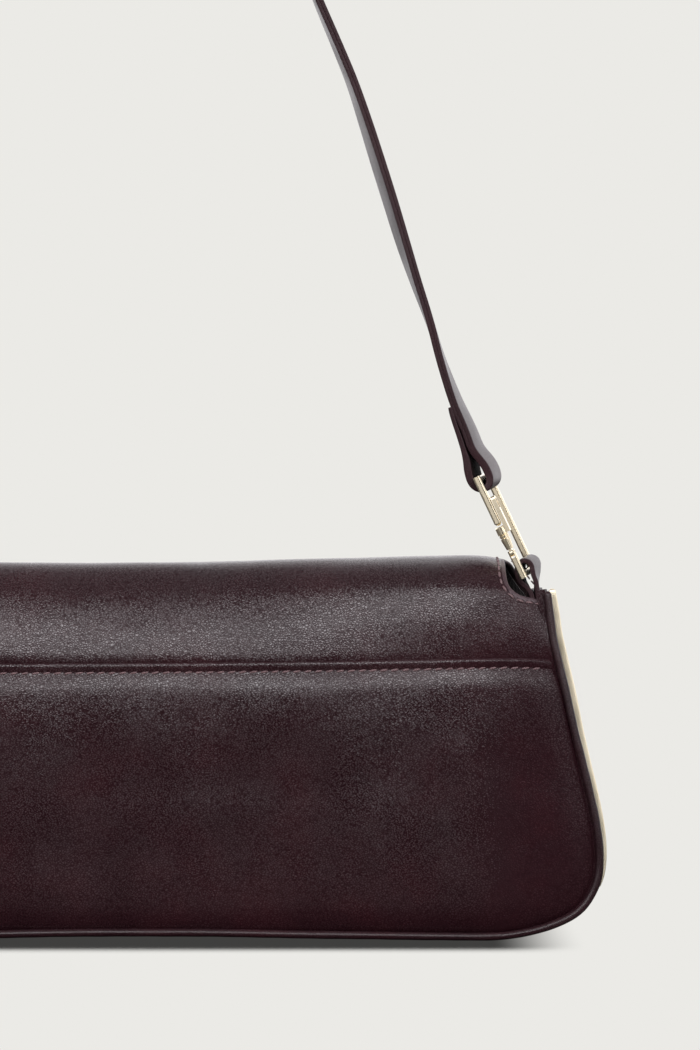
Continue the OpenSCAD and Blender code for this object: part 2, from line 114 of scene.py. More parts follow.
def curve(points, sigma=1.5, step=0.5):
    """A smooth curve through given points, as a dense even polyline."""
    p = arr(points)
    q = []
    for i in range(len(p) - 1):
        p0, p1, p2, p3 = p[max(i - 1, 0)], p[i], p[i + 1], p[min(i + 2, len(p) - 1)]
        for k in range(12):
            t = k / 12
            q.append(0.5 * (2 * p1 + (p2 - p0) * t + (2 * p0 - 5 * p1 + 4 * p2 - p3) * t * t
                            + (3 * p1 - p0 - 3 * p2 + p3) * t ** 3))
    q.append(p[-1])
    return gauss1(resample(q, step), sigma / step)


def vnoise(x, y, seed=0):
    """Smooth value noise from -1 to 1."""
    x = np.asarray(x, float)
    y = np.asarray(y, float)
    xi, yi = np.floor(x).astype(np.int64), np.floor(y).astype(np.int64)

    def h(i, j):
        n = (i * 374761393 + j * 668265263 + seed * 974634777) & 0x7FFFFFFF
        n = ((n ^ (n >> 13)) * 1274126177) & 0x7FFFFFFF
        n = n ^ (n >> 16)
        return (n & 0xFFFF) / 32767.5 - 1

    fx, fy = x - xi, y - yi
    fx = fx ** 3 * (fx * (fx * 6 - 15) + 10)
    fy = fy ** 3 * (fy * (fy * 6 - 15) + 10)
    a = h(xi, yi) * (1 - fx) + h(xi + 1, yi) * fx
    b = h(xi, yi + 1) * (1 - fx) + h(xi + 1, yi + 1) * fx
    return a * (1 - fy) + b * fy


def mesh_object(name, verts, faces, mats, index=None, smooth=True, sharp=None):
    """verts in millimetres; mats is a list of materials; index gives each face's slot."""
    me = bpy.data.meshes.new(name)
    me.from_pydata([tuple(v) for v in arr(verts) * 0.001], [], [list(map(int, f)) for f in faces])
    for m in mats:
        me.materials.append(m)
    if index is not None:
        me.polygons.foreach_set("material_index", np.array(index, np.int32))
    me.update()
    ob = bpy.data.objects.new(name, me)
    scene.collection.objects.link(ob)
    bm = bmesh.new()
    bm.from_mesh(me)
    bmesh.ops.remove_doubles(bm, verts=bm.verts, dist=2e-6)
    bmesh.ops.dissolve_degenerate(bm, edges=bm.edges, dist=1e-7)
    loose = [v for v in bm.verts if not v.link_faces]
    if loose:
        bmesh.ops.delete(bm, geom=loose, context="VERTS")
    bmesh.ops.recalc_face_normals(bm, faces=bm.faces)
    bm.to_mesh(me)
    bm.free()
    if smooth:
        me.polygons.foreach_set("use_smooth", [True] * len(me.polygons))
        if sharp:
            me.set_sharp_from_angle(angle=math.radians(sharp))
    me.update()
    return ob


def dist_to(points, line):
    """Distance from each point to a polyline, and the nearest place along it."""
    p = arr(points)
    a, b = line[:-1], line[1:]
    d = b - a
    l2 = (d ** 2).sum(1) + 1e-12
    best = np.full(len(p), 1e9)
    for i in range(0, len(p), 2000):
        q = p[i:i + 2000, None, :]
        t = np.clip(((q - a) * d).sum(2) / l2, 0, 1)
        e = np.linalg.norm(q - (a + t[..., None] * d), axis=2)
        best[i:i + 2000] = e.min(1)
    return best


def loft(name, rings, mats, index=None, caps=True, sharp=None, smooth=True):
    """A skin over closed cross sections: rings is (stations, corners, 3)."""
    r = arr(rings)
    m, n = r.shape[:2]
    faces, idx = [], []
    for i in range(m - 1):
        for k in range(n):
            j = (k + 1) % n
            faces.append((i * n + k, i * n + j, (i + 1) * n + j, (i + 1) * n + k))
            idx.append(0 if index is None else index[k])
    verts = r.reshape(-1, 3)
    if caps:
        cap = 0 if index is None else index[-1]
        verts = np.vstack([verts, r[0].mean(0), r[-1].mean(0)])
        for k in range(n):
            j = (k + 1) % n
            faces.append((m * n, j, k))
            faces.append((m * n + 1, (m - 1) * n + k, (m - 1) * n + j))
            idx += [cap, cap]
    return mesh_object(name, verts, faces, mats, idx, smooth, sharp)


def frames_along(path):
    t = np.gradient(path, axis=0)
    return t / np.linalg.norm(t, axis=1)[:, None]


def unit(v):
    return v / (np.linalg.norm(v, axis=-1, keepdims=True) + 1e-12)


# --------------------------------------------------------------- leather sheet


def normals_of(surf, uv, e=0.06):
    du, dv = arr([e, 0]), arr([0, e])
    pu = surf(uv + du) - surf(uv - du)
    pv = surf(uv + dv) - surf(uv - dv)
    return unit(np.cross(pu, pv))


def sheet(name, outline, free, surf, t, mats, grid=3.0, rows=(), rings=None,
          edge_band=None, flip=False, drop=0.0):
    """A sheet of material of thickness t. outline: closed loop in (u, v); free:
    per outline point, True where the edge is a free, rounded one; surf: (u, v)
    to the outer face. rows: extra lines of points. edge_band: outline part and
    width that take the second material."""
    outline = arr(outline)
    free = np.asarray(free, bool)
    n = len(outline)
    nxt, prv = np.roll(outline, -1, 0), np.roll(outline, 1, 0)
    tan = unit(nxt - prv)
    inward = np.stack([-tan[:, 1], tan[:, 0]], 1)
    closed = np.vstack([outline, outline[:1]])
    rings = rings or [t * 0.07, t * 0.22, t * 0.5, t * 1.1, t * 2.0]
    pts = [outline]
    for d in rings:
        q = outline + inward * d
        keep = dist_to(q, closed) > d * 0.93
        pts.append(q[keep])
    extra = [arr(r) for r in rows]
    lo, hi = outline.min(0), outline.max(0)
    gx, gy = grid, grid * 0.866
    hexes = []
    for j in range(int((hi[1] - lo[1]) / gy) + 2):
        for i in range(int((hi[0] - lo[0]) / gx) + 2):
            hexes.append((lo[0] + (i + 0.5 * (j % 2)) * gx, lo[1] + j * gy))
    hexes = arr(hexes)
    poly = closed

    def inside(q):
        x, y = q[:, 0], q[:, 1]
        c = np.zeros(len(q), bool)
        for i in range(n):
            (x0, y0), (x1, y1) = poly[i], poly[i + 1]
            if y0 == y1:
                continue
            hit = ((y0 > y) != (y1 > y)) & (x < (x1 - x0) * (y - y0) / (y1 - y0) + x0)
            c ^= hit
        return c

    hexes = hexes[inside(hexes)]
    hexes = hexes[dist_to(hexes, closed) > rings[-1] + grid * 0.45]
    for r in extra:
        hexes = hexes[dist_to(hexes, r) > grid * 0.42] if len(r) > 1 else hexes
    more = []
    for r in extra:
        r = r[inside(r)]
        if len(r):
            r = r[dist_to(r, closed) > 0.35]
            more.append(r)
    allp = np.vstack(pts + more + [hexes])
    edges = [(i, (i + 1) % n) for i in range(n)]
    out = delaunay_2d_cdt([Vector(p) for p in allp], edges, [], 1, 1e-5)
    uv = arr([tuple(v) for v in out[0]])
    tris = np.array([f for f in out[2]], int)
    # keep counter-clockwise
    a, b, c = uv[tris[:, 0]], uv[tris[:, 1]], uv[tris[:, 2]]
    area = (b[:, 0] - a[:, 0]) * (c[:, 1] - a[:, 1]) - (b[:, 1] - a[:, 1]) * (c[:, 0] - a[:, 0])
    tris = tris[np.abs(area) > 1e-9]
    area = area[np.abs(area) > 1e-9]
    tris[area < 0] = tris[area < 0][:, ::-1]
    # distance to the free edges
    d = np.full(len(uv), 1e9)
    for i in range(n):
        if free[i] and free[(i + 1) % n]:
            seg = arr([outline[i], outline[(i + 1) % n]])
            d = np.minimum(d, dist_to(uv, seg))
    h = t / 2
    x = np.clip(h - d, 0, h)
    rim = h - np.sqrt(np.clip(h * h - x * x, 0, None))
    rim = np.where(d < 1e-4, h, rim)
    P = surf(uv)
    N = normals_of(surf, uv) * (-1 if flip else 1)
    outer = P - N * (rim + drop)[:, None]
    inner = P - N * (t - rim + drop)[:, None]
    m = len(uv)
    faces = [tuple(f) for f in tris] + [tuple(f[::-1] + m) for f in tris]
    idx = [0] * len(tris) + [0] * len(tris)
    if edge_band is not None:
        line, width = edge_band
        cen = uv[tris].mean(1)
        near = dist_to(cen, arr(line)) < width
        for i, f in enumerate(near):
            if f:
                idx[i] = 1
                idx[i + len(tris)] = 1
    # the boundary, taken from the triangles themselves
    count = {}
    for f in tris:
        for k in range(3):
            e = (f[k], f[(k + 1) % 3])
            count[e] = 1
    for (a_, b_) in list(count):
        if (b_, a_) not in count:
            faces.append((b_, a_, a_ + m, b_ + m))
            idx.append(0)
    if len(mats) > 2:
        for i in range(len(tris), 2 * len(tris)):
            if idx[i] == 0:
                idx[i] = 2
    ob = mesh_object(name, np.vstack([outer, inner]), faces, mats, idx, sharp=60)
    return ob


def place_on(surf, uv, flip=False):
    return surf(uv), normals_of(surf, uv) * (-1 if flip else 1)


def stitch_row(name, surf, line, inset, pitch, length, r, mat, slant=0.0, lift=0.16,
               flip=False, start=0.5, fat=None):
    """Stitches along a line in (u, v), moved inwards by inset."""
    line = resample(line, 0.5)
    t = frames_along(line)
    nrm = np.stack([-t[:, 1], t[:, 0]], 1)
    line = line + nrm * inset
    s = arclen(line)
    total = s[-1]
    k = int((total - start * pitch) / pitch)
    centres = start * pitch + np.arange(k + 1) * pitch
    centres = centres[centres < total - length * 0.4]
    verts, faces = [], []
    side, stn = 8, [-1, -0.86, -0.5, 0, 0.5, 0.86, 1]
    for ci, c in enumerate(centres):
        f = 1.0 if fat is None else fat(ci, c)
        p = arr([np.interp(c, s, line[:, i]) for i in range(2)])
        q = arr([np.interp(c + 0.4, s, line[:, i]) for i in range(2)])
        d = unit(q - p)
        ca, sa = math.cos(slant), math.sin(slant)
        d = arr([d[0] * ca - d[1] * sa, d[0] * sa + d[1] * ca])
        uv = arr([p + d * a * length / 2 for a in stn])
        P, N = place_on(surf, uv, flip)
        T = unit(np.gradient(P, axis=0))
        S = unit(np.cross(T, N))
        b = len(verts)
        for i, a in enumerate(stn):
            rad = r * f * (1 - 0.42 * abs(a) ** 2.2)
            up = lift * (1 - 1.5 * a * a)
            for j in range(side):
                w = 2 * math.pi * j / side
                verts.append(P[i] + N[i] * (up + rad * 0.8 * math.sin(w)) + S[i] * rad * math.cos(w))
        m = len(stn)
        for i in range(m - 1):
            for j in range(side):
                k2 = (j + 1) % side
                faces.append((b + i * side + j, b + i * side + k2, b + (i + 1) * side + k2, b + (i + 1) * side + j))
        faces.append(tuple(b + j for j in range(side))[::-1])
        faces.append(tuple(b + (m - 1) * side + j for j in range(side)))
    return mesh_object(name, verts, faces, [mat])


# ------------------------------------------------------------------- materials


def add(nt, kind, ins=None, **attrs):
    nd = nt.nodes.new(kind)
    for k, v in attrs.items():
        setattr(nd, k, v)
    for k, v in (ins or {}).items():
        sock = nd.inputs[k]
        if isinstance(v, bpy.types.NodeSocket):
            nt.links.new(v, sock)
        else:
            sock.default_value = v
    return nd


def mathn(nt, op, a, b=None, clamp=False):
    ins = {0: a}
    if b is not None:
        ins[1] = b
    return add(nt, "ShaderNodeMath", ins, operation=op, use_clamp=clamp).outputs[0]


def ramp(nt, fac, stops):
    nd = add(nt, "ShaderNodeValToRGB", {0: fac})
    cr = nd.color_ramp
    cr.elements[0].position, cr.elements[0].color = stops[0][0], (*stops[0][1], 1)
    cr.elements[1].position, cr.elements[1].color = stops[-1][0], (*stops[-1][1], 1)
    for p, c in stops[1:-1]:
        e = cr.elements.new(p)
        e.color = (*c, 1)
    return nd.outputs[0]


def maprange(nt, v, a, b, c, d, kind="SMOOTHSTEP"):
    return add(nt, "ShaderNodeMapRange", {"Value": v, "From Min": a, "From Max": b, "To Min": c, "To Max": d},
               interpolation_type=kind).outputs[0]


def material(name):
    m = bpy.data.materials.new(name)
    m.use_nodes = True
    nt = m.node_tree
    nt.nodes.clear()
    out = nt.nodes.new("ShaderNodeOutputMaterial")
    bs = nt.nodes.new("ShaderNodeBsdfPrincipled")
    nt.links.new(bs.outputs[0], out.inputs[0])
    return m, nt, bs


def leather(name, deep, base, red, rough=(0.36, 0.5), grain=0.6, crease=0.5, scale=1050.0,
            depth=0.00016, specular=0.5, sheen=0.0, low_grain=1.0, pits=0.5, dull_ends=1.0, speckle=0.0):
    m, nt, bs = material(name)
    tc = add(nt, "ShaderNodeTexCoord").outputs["Object"]
    warp = add(nt, "ShaderNodeTexNoise", {"Vector": tc, "Scale": 380.0, "Detail": 2.0, "Roughness": 0.5})
    off = add(nt, "ShaderNodeVectorMath", {0: warp.outputs["Color"], 1: (0.5, 0.5, 0.5)}, operation="SUBTRACT").outputs[0]
    off = add(nt, "ShaderNodeVectorMath", {0: off, "Scale": 0.0016}, operation="SCALE").outputs[0]
    pw = add(nt, "ShaderNodeVectorMath", {0: tc, 1: off}, operation="ADD").outputs[0]
    el = add(nt, "ShaderNodeMapping", {"Vector": pw, "Rotation": (0.0, 0.35, 0.0), "Scale": (0.8, 1.0, 1.15)}).outputs[0]
    vor = add(nt, "ShaderNodeTexVoronoi", {"Vector": el, "Scale": scale, "Randomness": 1.0}, feature="DISTANCE_TO_EDGE")
    cell = maprange(nt, vor.outputs["Distance"], 0.0, 0.4, 0.0, 1.0)
    vor2 = add(nt, "ShaderNodeTexVoronoi", {"Vector": el, "Scale": scale * 2.3, "Randomness": 1.0}, feature="DISTANCE_TO_EDGE")
    cell2 = maprange(nt, vor2.outputs["Distance"], 0.0, 0.4, 0.0, 1.0)
    fine = add(nt, "ShaderNodeTexNoise", {"Vector": tc, "Scale": 5200.0, "Detail": 2.0, "Roughness": 0.6}).outputs["Fac"]
    # fine wrinkles that run mostly along the bag
    wm = add(nt, "ShaderNodeMapping", {"Vector": pw, "Rotation": (0.0, 0.25, 0.0), "Scale": (1.0, 1.0, 2.6)}).outputs[0]
    wn = add(nt, "ShaderNodeTexNoise", {"Vector": wm, "Scale": 210.0, "Detail": 3.0, "Roughness": 0.55, "Distortion": 0.6}).outputs["Fac"]
    wr = mathn(nt, "ABSOLUTE", mathn(nt, "SUBTRACT", wn, 0.5))
    wr = maprange(nt, wr, 0.0, 0.045, 0.0, 1.0)
    patch = add(nt, "ShaderNodeTexNoise", {"Vector": tc, "Scale": 22.0, "Detail": 3.0, "Roughness": 0.55}).outputs["Fac"]
    wmask = maprange(nt, patch, 0.42, 0.66, 0.0, 1.0)
    gmask = maprange(nt, patch, 0.3, 0.62, 0.55, 1.0)
    place = add(nt, "ShaderNodeSeparateXYZ", {0: tc}).outputs
    height = place[2]
    fade = maprange(nt, height, 0.012, 0.085, low_grain, 1.0)
    gmask = mathn(nt, "MULTIPLY", gmask, fade)
    h = mathn(nt, "MULTIPLY", cell, grain)
    h = mathn(nt, "ADD", h, mathn(nt, "MULTIPLY", cell2, grain * 0.35))
    h = mathn(nt, "MULTIPLY", h, gmask)
    h = mathn(nt, "ADD", h, mathn(nt, "MULTIPLY", mathn(nt, "MULTIPLY", wr, wmask), crease))
    h = mathn(nt, "ADD", h, mathn(nt, "MULTIPLY", fine, 0.08 * grain))
    bump = add(nt, "ShaderNodeBump", {"Height": h, "Strength": 1.0, "Distance": depth})
    nt.links.new(bump.outputs[0], bs.inputs["Normal"])
    tone = add(nt, "ShaderNodeTexNoise", {"Vector": tc, "Scale": 34.0, "Detail": 4.0, "Roughness": 0.6}).outputs["Fac"]
    col = ramp(nt, tone, [(0.3, deep), (0.52, base), (0.72, red)])
    # painted shade: the base colour runs about a third darker in the gaps between the pebbles, keyed to the same cells
    # as the bump
    low = ramp(nt, cell, [(0.0, tuple(c * 0.72 for c in deep)), (0.6, (1, 1, 1))])
    mix = add(nt, "ShaderNodeMix", {0: 1.0, 6: col, 7: low}, data_type="RGBA", blend_type="MULTIPLY")
    gap_shaded_col = add(nt, "ShaderNodeMix", {0: 0.35, 6: col, 7: mix.outputs[2]}, data_type="RGBA")
    nt.links.new(gap_shaded_col.outputs[2], bs.inputs["Base Color"])
    rn = add(nt, "ShaderNodeTexNoise", {"Vector": tc, "Scale": 60.0, "Detail": 3.0}).outputs["Fac"]
    rr = maprange(nt, rn, 0.3, 0.7, rough[0], rough[1])
    rr = mathn(nt, "ADD", rr, mathn(nt, "MULTIPLY", mathn(nt, "SUBTRACT", fine, 0.5), 0.12))
    nt.links.new(rr, bs.inputs["Roughness"])
    line1 = maprange(nt, vor.outputs["Distance"], 0.015, 0.15, 0.0, 1.0)
    line2 = maprange(nt, vor2.outputs["Distance"], 0.0, 0.12, 0.55, 1.0)
    pit = maprange(nt, mathn(nt, "MULTIPLY", line1, line2), 0.0, 1.0, specular * (1 - pits), specular)
    if speckle:
        # the tops of the pebbles shine and the gaps between them don't
        top_ = maprange(nt, vor.outputs["Distance"], 0.02, 0.36, 1 - 0.72 * speckle, 1 + 0.42 * speckle)
        one = add(nt, "ShaderNodeTexNoise", {"Vector": tc, "Scale": 1500.0, "Detail": 1.0}).outputs["Fac"]
        each = mathn(nt, "MULTIPLY", top_, maprange(nt, one, 0.3, 0.7, 1 - 0.16 * speckle, 1 + 0.16 * speckle))
        pit = mathn(nt, "MULTIPLY", pit, each)
    if dull_ends < 1:
        # the hide is less glossy towards the gussets
        pit = mathn(nt, "MULTIPLY", pit, maprange(nt, mathn(nt, "ABSOLUTE", place[0]), 0.102, 0.137, 1.0, dull_ends))
    nt.links.new(pit, bs.inputs["Specular IOR Level"])
    if sheen:
        bs.inputs["Sheen Weight"].default_value = sheen
        bs.inputs["Sheen Roughness"].default_value = 0.4
    return m


DEEP, BASE, RED = (0.0185, 0.0060, 0.0082), (0.0235, 0.0074, 0.0100), (0.030, 0.0082, 0.0110)
M_leather = leather("oxblood_leather", DEEP, BASE, RED, rough=(0.24, 0.3), grain=0.8, crease=0.2, scale=1330.0, depth=0.000047,
                    specular=0.6, low_grain=0.36, pits=0.6, dull_ends=0.36, speckle=0.62)
M_strap = leather("strap_leather", (0.022, 0.0085, 0.011), (0.028, 0.0105, 0.0132), (0.033, 0.011, 0.014),
                  rough=(0.34, 0.42), grain=0.35, crease=0.15, scale=1500.0, depth=0.00004, specular=0.42)
M_piping = leather("piping_leather", (0.018, 0.0065, 0.0088), (0.024, 0.0082, 0.0108), (0.031, 0.0088, 0.0118),
                   rough=(0.30, 0.4), grain=0.35, crease=0.3, scale=1250.0, depth=0.00005, specular=0.4)
M_bound = leather("bound_edge", (0.040, 0.021, 0.026), (0.054, 0.029, 0.035), (0.064, 0.032, 0.039),
                  rough=(0.4, 0.5), grain=0.25, crease=0.0, scale=1600.0, depth=0.00004)
M_edge = leather("edge_paint", (0.026, 0.0098, 0.0125), (0.031, 0.0115, 0.0145), (0.036, 0.0125, 0.016),
                 rough=(0.42, 0.55), grain=0.12, crease=0.0, scale=2200.0, depth=0.00003, specular=0.3)
M_suede = leather("leather_back", (0.030, 0.016, 0.017), (0.042, 0.022, 0.023), (0.052, 0.026, 0.027),
                  rough=(0.75, 0.9), grain=0.2, crease=0.1, scale=2600.0, depth=0.00006)

# painted shade: a near-black copy of the leather with little shine, for the faces of the ring tabs and strap loops that
# turn inwards into shadow
M_shaded_inside = leather("inner_face_painted_shade", (0.010, 0.005, 0.006), (0.014, 0.007, 0.008), (0.018, 0.008, 0.0095),
                   rough=(0.75, 0.9), grain=0.2, crease=0.1, scale=2600.0, depth=0.00006, specular=0.08, pits=0.2)


def thread(name, a, b):
    m, nt, bs = material(name)
    tc = add(nt, "ShaderNodeTexCoord").outputs["Object"]
    w = add(nt, "ShaderNodeTexWave", {"Vector": tc, "Scale": 900.0, "Distortion": 1.5, "Detail": 1.0},
            wave_type="BANDS", bands_direction="DIAGONAL").outputs["Fac"]
    # painted shade: the colour follows the twist bands that also make the bump, darker in the grooves and lighter on
    # the ridges
    nt.links.new(ramp(nt, w, [(0.1, a), (0.8, b)]), bs.inputs["Base Color"])
    bump = add(nt, "ShaderNodeBump", {"Height": w, "Strength": 0.8, "Distance": 0.00008})
    nt.links.new(bump.outputs[0], bs.inputs["Normal"])
    n = add(nt, "ShaderNodeTexNoise", {"Vector": tc, "Scale": 300.0}).outputs["Fac"]
    nt.links.new(maprange(nt, n, 0.3, 0.7, 0.5, 0.65), bs.inputs["Roughness"])
    return m


M_thread = thread("seam_thread", (0.080, 0.042, 0.046), (0.175, 0.108, 0.112))
M_thread_dark = thread("seam_thread_dark", (0.030, 0.014, 0.017), (0.070, 0.036, 0.040))


def fabric(name, a, b, pitch=0.00055):
    m, nt, bs = material(name)
    tc = add(nt, "ShaderNodeTexCoord").outputs["Object"]
    s = 0.314 / pitch
    w1 = add(nt, "ShaderNodeTexWave", {"Vector": tc, "Scale": s, "Distortion": 0.4, "Detail": 1.0, "Detail Scale": 2.0},
             wave_type="BANDS", bands_direction="DIAGONAL").outputs["Fac"]
    w2 = add(nt, "ShaderNodeTexWave", {"Vector": tc, "Scale": s, "Distortion": 0.4},
             wave_type="BANDS", bands_direction="Z").outputs["Fac"]
    h = mathn(nt, "ADD", mathn(nt, "MULTIPLY", w1, 0.65), mathn(nt, "MULTIPLY", w2, 0.35))
    n = add(nt, "ShaderNodeTexNoise", {"Vector": tc, "Scale": 45.0, "Detail": 4.0}).outputs["Fac"]
    slub = add(nt, "ShaderNodeTexNoise", {"Vector": tc, "Scale": 900.0, "Detail": 2.0}).outputs["Fac"]
    # painted shade: the colour follows the weave's height, darker in its low parts and lighter on the raised threads
    weave_shaded_col = ramp(nt, h, [(0.15, tuple(x * 0.62 for x in a)), (0.75, b)])
    c2 = ramp(nt, n, [(0.3, (0.82, 0.82, 0.82)), (0.7, (1, 1, 1))])
    mx = add(nt, "ShaderNodeMix", {0: 1.0, 6: weave_shaded_col, 7: c2}, data_type="RGBA", blend_type="MULTIPLY")
    nt.links.new(mx.outputs[2], bs.inputs["Base Color"])
    h = mathn(nt, "ADD", h, mathn(nt, "MULTIPLY", slub, 0.4))
    bump = add(nt, "ShaderNodeBump", {"Height": h, "Strength": 0.9, "Distance": 0.00014})
    nt.links.new(bump.outputs[0], bs.inputs["Normal"])
    nt.links.new(maprange(nt, n, 0.3, 0.7, 0.72, 0.86), bs.inputs["Roughness"])
    bs.inputs["Sheen Weight"].default_value = 0.25
    bs.inputs["Sheen Roughness"].default_value = 0.5
    return m


M_lining = fabric("twill_lining", (0.018, 0.014, 0.014), (0.032, 0.026, 0.025))


def metal(name, a, b, rough=(0.1, 0.18), wear=0.5, scratch=0.00001, metallic=1.0):
    m, nt, bs = material(name)
    tc = add(nt, "ShaderNodeTexCoord").outputs["Object"]
    n = add(nt, "ShaderNodeTexNoise", {"Vector": tc, "Scale": 130.0, "Detail": 4.0, "Roughness": 0.6}).outputs["Fac"]
    st = add(nt, "ShaderNodeMapping", {"Vector": tc, "Scale": (1.0, 1.0, 0.06)}).outputs[0]
    s = add(nt, "ShaderNodeTexNoise", {"Vector": st, "Scale": 4200.0, "Detail": 2.0}).outputs["Fac"]
    nt.links.new(ramp(nt, n, [(0.3, a), (0.7, b)]), bs.inputs["Base Color"])
    r = maprange(nt, n, 0.25, 0.75, rough[0], rough[1])
    r = mathn(nt, "ADD", r, mathn(nt, "MULTIPLY", mathn(nt, "SUBTRACT", s, 0.5), 0.08 * wear))
    nt.links.new(r, bs.inputs["Roughness"])
    bs.inputs["Metallic"].default_value = metallic
    bump = add(nt, "ShaderNodeBump", {"Height": mathn(nt, "ADD", s, mathn(nt, "MULTIPLY", n, 2.0)), "Strength": 0.4, "Distance": scratch * 0.4})
    nt.links.new(bump.outputs[0], bs.inputs["Normal"])
    return m


M_gold = metal("pale_gold", (0.86, 0.755, 0.54), (0.91, 0.815, 0.61), rough=(0.16, 0.24), metallic=0.93)
M_bar = metal("pale_gold_bar", (0.87, 0.78, 0.575), (0.92, 0.835, 0.635), rough=(0.32, 0.4), metallic=0.85)
M_steel = metal("spring_steel", (0.46, 0.46, 0.45), (0.56, 0.56, 0.55), rough=(0.25, 0.4))
# painted shade: a darkened copy of the gold for hollows in shadow; no part is given it
M_gold_in_shade = metal("gold_hollow_shade", (0.10, 0.085, 0.06), (0.14, 0.12, 0.085), rough=(0.35, 0.5))


def fibre_board(name):
    m, nt, bs = material(name)
    tc = add(nt, "ShaderNodeTexCoord").outputs["Object"]
    n = add(nt, "ShaderNodeTexNoise", {"Vector": tc, "Scale": 420.0, "Detail": 6.0, "Roughness": 0.7}).outputs["Fac"]
    nt.links.new(ramp(nt, n, [(0.3, (0.16, 0.115, 0.075)), (0.7, (0.28, 0.21, 0.14))]), bs.inputs["Base Color"])
    bump = add(nt, "ShaderNodeBump", {"Height": n, "Strength": 0.7, "Distance": 0.0002})
    nt.links.new(bump.outputs[0], bs.inputs["Normal"])
    nt.links.new(maprange(nt, n, 0.3, 0.7, 0.8, 0.92), bs.inputs["Roughness"])
    return m


M_board = fibre_board("fibre_board")


def dress(node, mat):
    ob = nodes[node]
    ob.data.materials.clear()
    ob.data.materials.append(mat)
    ob.data.polygons.foreach_set("material_index", [0] * len(ob.data.polygons))


for s_ in ("left", "right"):
    for n_ in ("ring_", "gate_"):
        dress(n_ + s_, M_gold)
    for n_ in ("gate_pin_", "gate_spring_", "bar_rivets_"):
        dress(n_ + s_, M_steel)
dress("snap_socket", M_gold)
dress("snap_stud", M_gold)
dress("snap_socket_washer", M_steel)
dress("snap_stud_washer", M_steel)
dress("base_board", M_board)

# ---------------------------------------------------------------- outline data

half_seam = [(0, 4.0), (20, 3.95), (38, 3.7), (54, 3.35), (78, 3.05), (103, 2.7), (121.4, 2.7), (130, 3.7),
             (136.5, 5.1), (142.5, 7.2), (147.7, 9.7), (151.6, 13.2), (154.4, 17.8), (155.8, 21.5),
             (156.3, 25.2), (156.3, 31), (155.6, 37.9), (153.7, 47.7), (150.6, 60.5), (147.3, 73.9),
             (144.8, 85.5), (142.2, 96.3), (140.3, 104.5), (139.4, 112.4), (138.4, 120.5), (137.9, 124.5)]
seam = curve([(-x, z) for x, z in half_seam[:0:-1]] + half_seam, sigma=1.8, step=0.5)


def outward(line):
    t = frames_along(line)
    return np.stack([t[:, 1], -t[:, 0]], 1)


seam_n = outward(seam)
right = seam[seam[:, 0] > 118]
right = right[right[:, 1] > 24]
seam_x = Table([(z, x) for x, z in right[::8]], sigma=0.5)
z_lip = Table([(-142, 96.85), (-129, 97.05), (-90, 96.05), (-49, 95.55), (18, 95.9), (71, 96.45), (129, 97.6), (135, 97.4), (142, 96.8)], sigma=5)
z_top = Table([(-128, 131.6), (-122, 132.4), (-116, 133.0), (-90, 131.6), (-60, 130.5), (-49, 130.25), (-2, 130.4), (18, 130.6),
               (44, 131.1), (68, 131.9), (96, 132.6), (116, 133.2), (122, 132.6), (128, 131.0)], sigma=3.5)
y_panel = Table([(0, -27.7), (4, -27.9), (20, -28.4), (40, -28.3), (60, -27.8), (75, -27.2), (85, -26.6), (90, -26.1), (93, -25.75), (96, -25.35)], sigma=3.0)
y_pipe = Table([(-5, -27.4), (40, -27.4), (75, -26.2), (96, -24.4), (121, -21.9)], sigma=6)
TAN = math.tan(math.radians(2.2))


def keep_z(line, zmax):
    return line[line[:, 1] <= zmax]


# ------------------------------------------------------------ back pocket panel


def soft_relief(x, z, seed, amp=1.0):
    return amp * (0.32 * vnoise(x / 52, z / 44, seed) + 0.13 * vnoise(x / 21, z / 15, seed + 1)
                  + 0.035 * vnoise(x / 8.5, z / 5.5, seed + 2))


def surf_pocket(uv):
    x, z = uv[:, 0], uv[:, 1]
    d = z_lip(x) - z
    ds = dist_to(uv, seam)
    y = y_panel(z)
    y = y + 0.3 * np.exp(-((d - 3.5) / 0.6) ** 2) - 0.6 * (1 - smoothstep(0.2, 4.2, d))
    y = y - 1.15 * (1 - 0.42 * smoothstep(60, 122, np.abs(x))) * smoothstep(3.3, 9.6, d) * (1 - smoothstep(12, 46, d))
    y = y + 1.5 * np.exp(-ds / 2.2) + 1.0 * np.exp(-ds / 7.5) * smoothstep(30, 60, np.abs(x)) - 0.25 * smoothstep(2, 8, ds) * (1 - smoothstep(8, 30, ds))
    y = y + soft_relief(x, z, 5) * smoothstep(2, 14, ds) * smoothstep(2, 12, d)
    return np.stack([x, y, z], 1)


low = seam[seam[:, 1] < z_lip(seam[:, 0]) - 0.2]
lip_x = np.arange(low[-1, 0] - 0.4, low[0, 0] + 0.4, -0.5)
lip = np.stack([lip_x, z_lip(lip_x)], 1)
edge_low = resample(low, 2.0)
edge_lip = resample(lip, 2.0)
outline = np.vstack([edge_low, edge_lip])
free = np.array([False] * len(edge_low) + [True] * len(edge_lip))
free[len(edge_low) - 1] = free[0] = False
rows = []
for d_ in (1.3, 2.1, 2.8, 3.15, 3.5, 3.85, 4.3, 5.1, 6.2, 7.6, 9.4):
    xs = np.arange(-141, 141.1, 2.0)
    rows.append(np.stack([xs, z_lip(xs) - d_], 1))
pocket = sheet("back_pocket", outline, free, surf_pocket, 1.4, [M_leather, M_edge, M_suede], grid=2.6, rows=rows,
               edge_band=(lip, 0.55))
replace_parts(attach(pocket, "body"), "back_pocket_panel")


def lip_fat(i, c):
    return 1.0 + 0.28 * float(np.exp(-(((c - 226.5) / 5.5) ** 2)))


